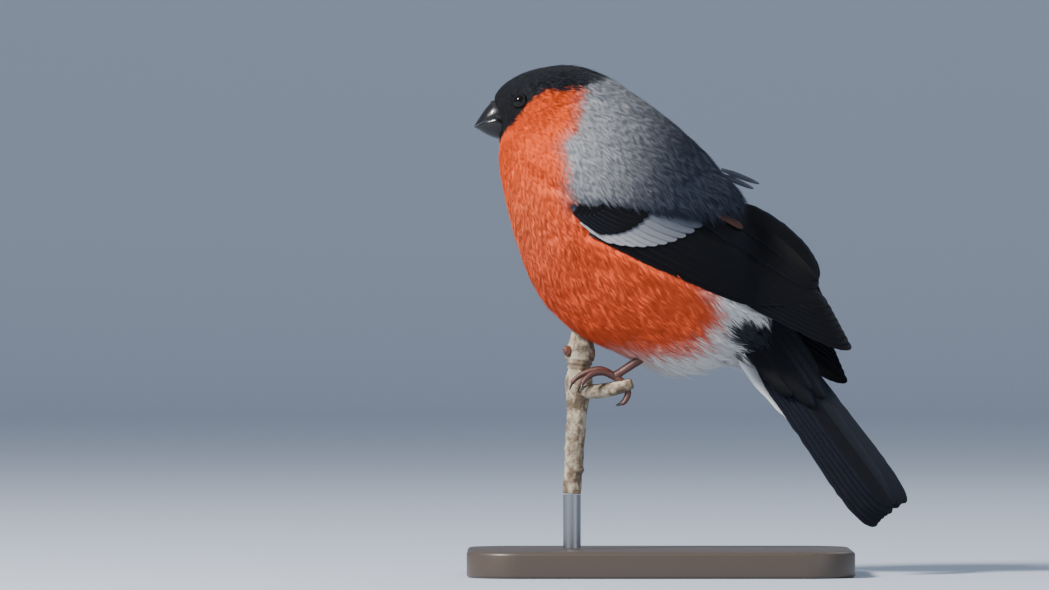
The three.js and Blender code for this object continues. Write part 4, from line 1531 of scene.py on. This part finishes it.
@dataclass
class Twig:
    """The cut twig: a swollen joint with bud scars, a bud and two short side stubs."""

    x: float = -18.0
    lean: float = 0.06
    bottom: float = 22.0
    top: float = 66.0
    stub_z: float = 50.4
    knots: tuple = ((28.5, 3.4), (34.0, 0.6), (39.5, 4.4), (45.0, 2.2), (53.8, 3.9), (58.2, 0.9), (62.2, 4.6))

    def build(self, bark: bpy.types.Material, bud: bpy.types.Material) -> list[bpy.types.Object]:
        """Make the twig and its bud."""
        build = Build()
        keys = np.array([self.bottom, 34, 45, 49.5, 52.5, 55, 57, 59, 61, 63.5, self.top])
        sizes = np.array([2.4, 2.5, 2.7, 3.5, 3.6, 3.1, 3.3, 3.9, 3.9, 3.1, 2.7])
        z = np.linspace(self.bottom, self.top, 130)
        path = np.stack([self.x + self.lean * (z - 50), np.zeros(len(z)), z], 1)
        chance = np.random.default_rng(SEED)
        phase = chance.uniform(0, 6.28, 6)

        def rough(share: np.ndarray, turn: np.ndarray) -> np.ndarray:
            """Bark: lengthwise ribs, low swellings and the close rings of old bud scars."""
            height = self.bottom + share * (self.top - self.bottom)
            ribs = 0.02 * np.sin(7 * turn + phase[0] + 0.4 * height) + 0.015 * np.sin(13 * turn + phase[1])
            lumps = 0.03 * np.sin(0.9 * height + 2 * turn + phase[2])
            rings = np.sin(height * 5.2 + 0.4 * np.sin(turn * 2))
            scars = 0.07 * np.exp(-(((height - 56.5) / 2.2) ** 2)) * rings
            knots = sum(0.22 * np.exp(-(((height - level) / 0.9) ** 2) - ((np.cos(turn - at) - 1) * 7) ** 2)
                        for level, at in self.knots)
            return 1 + ribs + lumps + scars + knots
        build.add(*tube(path, np.interp(z, keys, sizes), 48, rough), linear(150, 138, 118))
        t = np.linspace(0, 3, 40)
        for side in (-1, 1):
            low = self.stub_z - 0.8
            stub = np.array([[self.x, side * 0.5, low], [self.x + 5, side * 4.6, low],
                             [self.x + 10, side * 7.4, self.stub_z],
                             [self.x + 14.5, side * 8.4, self.stub_z + 1.4]])
            radii = np.interp(t, [0, 1, 2, 3], [2.0, 1.9, 1.8, 1.3])
            build.add(*tube(curve(stub, t), radii, 28, self.stub_bark), linear(128, 112, 94))
        made = [build.object("twig_bark", bark)]
        build = Build()
        t = np.linspace(0, 1, 14)
        bead = np.array([self.x - 1.6, -1.4, 59.6]) + t[:, None] * np.array([-2.4, -1.8, 1.9])
        taper = np.sqrt(np.maximum(1 - (2 * t - 1) ** 2, 0.004)) * (1.12 - 0.42 * t)
        build.add(*tube(bead, 1.5 * taper, 20, self.bud_scales), linear(96, 44, 40))
        made.append(build.object("twig_bud", bud))
        return made

    def stub_bark(self, share: np.ndarray, turn: np.ndarray) -> np.ndarray:
        """Bark of a side stub, as a factor on the radius."""
        return 1 + 0.03 * np.sin(5 * turn + 30 * share) + 0.03 * np.sin(60 * share)

    def bud_scales(self, share: np.ndarray, turn: np.ndarray) -> np.ndarray:
        """Scales of the bud, as a factor on the radius."""
        return 1 + 0.06 * np.sin(share * 22 + 2 * turn)


@dataclass
class Stand:
    """A plain board with soft edges and one rod."""

    bevel: float = 0.9

    def build(self, board: bpy.types.Material, rod: bpy.types.Material) -> list[bpy.types.Object]:
        """Make the board and the rod from the boxes of their solids."""
        low, high = (np.array(corner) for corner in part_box("stand_base"))
        made = [self.slab(low, high, board)]
        low, high = (np.array(corner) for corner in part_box("stand_rod"))
        middle, radius = (low + high) / 2, (high[0] - low[0]) / 2
        z = np.linspace(low[2], high[2], 20)
        path = np.stack([np.full(20, middle[0]), np.full(20, middle[1]), z], 1)
        points, faces, _ = tube(path, np.full(20, radius), 40)
        mesh = mesh_of("rod", points, faces)
        mesh.set_sharp_from_angle(angle=0.6)
        made.append(link("rod", mesh, rod))
        return made

    def slab(self, low: np.ndarray, high: np.ndarray, board: bpy.types.Material) -> bpy.types.Object:
        """The board, with its corners and edges rounded."""
        work = bmesh.new()
        bmesh.ops.create_cube(work, size=1.0)
        size, middle = high - low, (low + high) / 2
        for vertex in work.verts:
            vertex.co = [middle[k] + vertex.co[k] * size[k] for k in range(3)]
        upright = [edge for edge in work.edges if abs(edge.verts[0].co.z - edge.verts[1].co.z) > size[2] / 2]
        bmesh.ops.bevel(work, geom=upright, offset=14 * MM, segments=12, affect="EDGES", profile=0.5)
        rims = [edge for edge in work.edges if abs(edge.verts[0].co.z - edge.verts[1].co.z) < 1e-7
                and len({face.normal.z > 0.5 or face.normal.z < -0.5 for face in edge.link_faces}) == 2]
        bmesh.ops.bevel(work, geom=rims, offset=self.bevel * MM, segments=4, affect="EDGES", profile=0.5)
        mesh = bpy.data.meshes.new("board")
        work.to_mesh(mesh)
        work.free()
        mesh.polygons.foreach_set("use_smooth", np.full(len(mesh.polygons), True))
        mesh.set_sharp_from_angle(angle=0.6)
        return link("board", mesh, board)


# Studio


@dataclass
class Studio:
    """Camera of the picture's view, pale floor and soft lights."""

    distance: float = 2600.0
    middle_x: float = -32.5
    middle_z: float = 75.6
    across: float = 283.2

    def build(self) -> None:
        """Place the camera first, then the floor and the lights."""
        scene = bpy.context.scene
        eye = bpy.data.cameras.new("camera")
        camera = bpy.data.objects.new("camera", eye)
        spot = PLACE.world(np.array([self.middle_x, -self.distance, self.middle_z]))
        camera.location = [float(value) for value in spot]
        camera.rotation_euler = (math.pi / 2, 0, 0)
        eye.sensor_width = 36.0
        eye.lens = 36.0 * self.distance / self.across
        eye.clip_end = 50.0
        scene.collection.objects.link(camera)
        scene.camera = camera
        self.floor()
        self.light("key", (-1.05, -0.85, 1.15), 0.4, 68.0, (1.0, 0.965, 0.92))
        self.light("fill", (0.9, -1.0, 0.35), 1.0, 3.4, (0.86, 0.92, 1.0))
        self.light("rim", (0.5, 0.9, 0.9), 0.7, 2.5, (0.92, 0.96, 1.0))
        world = bpy.data.worlds.new("studio")
        scene.world = world
        world.use_nodes = True
        world.node_tree.nodes["Background"].inputs["Color"].default_value = (0.62, 0.70, 0.82, 1.0)
        world.node_tree.nodes["Background"].inputs["Strength"].default_value = 0.62

    def floor(self) -> None:
        """The pale floor with a raised back."""
        xs = (-7.0, 7.0)
        wall, bend, top = 3.4, 1.2, 5.0
        profile = [(-6.0, 0.0), (wall, 0.0)]
        profile += [(wall + bend * math.sin(t), bend - bend * math.cos(t))
                    for t in np.linspace(0.1, math.pi / 2, 14)]
        profile += [(wall + bend, top)]
        points = np.array([[x, y, z] for y, z in profile for x in xs])
        k = np.arange(len(profile) - 1) * 2
        mesh = mesh_of("floor", points, np.stack([k, k + 1, k + 3, k + 2], 1))
        paint = PlainFinish("floor_paint", linear(180, 189, 204), 0.85).material()
        link("floor", mesh, paint)

    def light(self, name: str, place: tuple, size: float, power: float, colour: tuple) -> None:
        """An area light that faces the bird."""
        data = bpy.data.lights.new(name, "AREA")
        data.shape = "DISK"
        data.size = size
        data.energy = power
        data.color = colour
        lamp = bpy.data.objects.new(name, data)
        lamp.location = place
        target = np.array([0.0, 0.0, 0.09])
        aim = target - np.array(place)
        yaw = math.atan2(aim[1], aim[0]) - math.pi / 2
        pitch = math.atan2(aim[2], math.hypot(aim[0], aim[1])) + math.pi / 2
        lamp.rotation_euler = (pitch, 0, yaw)
        bpy.context.scene.collection.objects.link(lamp)


# The whole


def settle(pieces: list[bpy.types.Object], slot: str, *nodes: str) -> None:
    """Tie pieces to the root body.

    Args:
        pieces: The pieces.
        slot: Not used.
        nodes: The CAD nodes that they replace.
    """
    for piece in pieces:
        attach(piece, "root")
        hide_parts(*nodes)
        LOG.info("%s is in place", piece.name)


def main() -> None:
    """Build the studio and the bird, piece by piece."""
    logging.basicConfig(level=logging.INFO, format="%(message)s")
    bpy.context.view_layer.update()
    Studio().build()

    skin_finish = FeatherFinish("skin_plumage", 0.9, specular=0.05)
    cap = FeatherFinish("cap_feathers", 0.42, specular=0.4, sheen=0.06, sheen_tint=(0.6, 0.72, 1.0, 1.0))
    breast = FeatherFinish("breast_feathers", 0.8, specular=0.08)
    back = FeatherFinish("back_feathers", 0.75, specular=0.15)
    white = FeatherFinish("white_feathers", 0.8, specular=0.1)
    flight = FeatherFinish("flight_feathers", 0.5, vaned=True, specular=0.16, sheen=0.03,
                           sheen_tint=(0.4, 0.55, 1.0, 1.0))
    finishes = {Zone.CAP: cap.material(), Zone.BREAST: breast.material(), Zone.BACK: back.material(),
                Zone.WHITE: white.material()}
    flight_material = flight.material()

    skin = Skin().build(skin_finish.material())
    settle([skin], "plumage", "head", "neck", "torso")
    LOG.info("skin done")
    for piece in Coat().dress(skin, finishes):
        slot = "cap" if "_cap_" in piece.name else "plumage"
        settle([piece], slot, "head", "neck", "torso")
    LOG.info("coat done")
    settle([Wing(-1).build("wing_vanes_left", flight_material)], "flight", "wing_left")
    settle([Wing(1).build("wing_vanes_right", flight_material)], "flight", "wing_right")
    settle([Tail().build("tail_vanes", flight_material)], "flight", "tail")
    LOG.info("vanes done")
    horn = PlainFinish("bill_horn", linear(13, 12, 14), 0.28, grain=0.2, coat=0.3, specular=0.35).material()
    bill = Bill()
    upper, lower = bill.build(horn)
    settle([bill.bristles(finishes[Zone.CAP])], "cap", "head")
    settle([upper], "bill", "bill_upper")
    settle([lower], "bill", "bill_lower")
    wet = PlainFinish("eye_wet", linear(7, 4, 4), 0.05, specular=0.3).material()
    lid = PlainFinish("eye_lid", linear(15, 15, 19), 0.6, specular=0.2, grain=0.2).material()
    leather = PlainFinish("leg_skin", linear(78, 44, 37), 0.45, grain=0.35, grain_size=2500).material()
    claw = PlainFinish("claw_horn", linear(40, 32, 30), 0.3).material()
    for side, name in ((-1, "left"), (1, "right")):
        settle(Eye(side).build(f"gaze_{name}", wet, lid), "eye", f"eye_{name}")
        made = Foot(side).build(f"grip_{name}", leather, claw)
        settle(made[:1], "leg", f"leg_{name}")
        settle(made[1:], "leg", f"foot_{name}")
    LOG.info("details done")
    bark = PlainFinish("twig_bark", linear(96, 80, 62), 0.8, grain=0.9, grain_size=1100,
                       mottle=linear(172, 160, 138)).material()
    bud = PlainFinish("twig_bud", linear(96, 56, 42), 0.6, grain=0.6).material()
    settle(Twig().build(bark, bud), "bark", "perch")
    board = PlainFinish("board_stain", linear(70, 60, 52), 0.4, grain=0.1).material()
    steel = PlainFinish("rod_steel", linear(150, 152, 156), 0.3, metallic=1.0).material()
    slab, rod = Stand().build(board, steel)
    settle([slab], "stand_board", "stand_base")
    settle([rod], "stand_metal", "stand_rod")
    LOG.info("stand done")


if __name__ == "__main__":
    main()
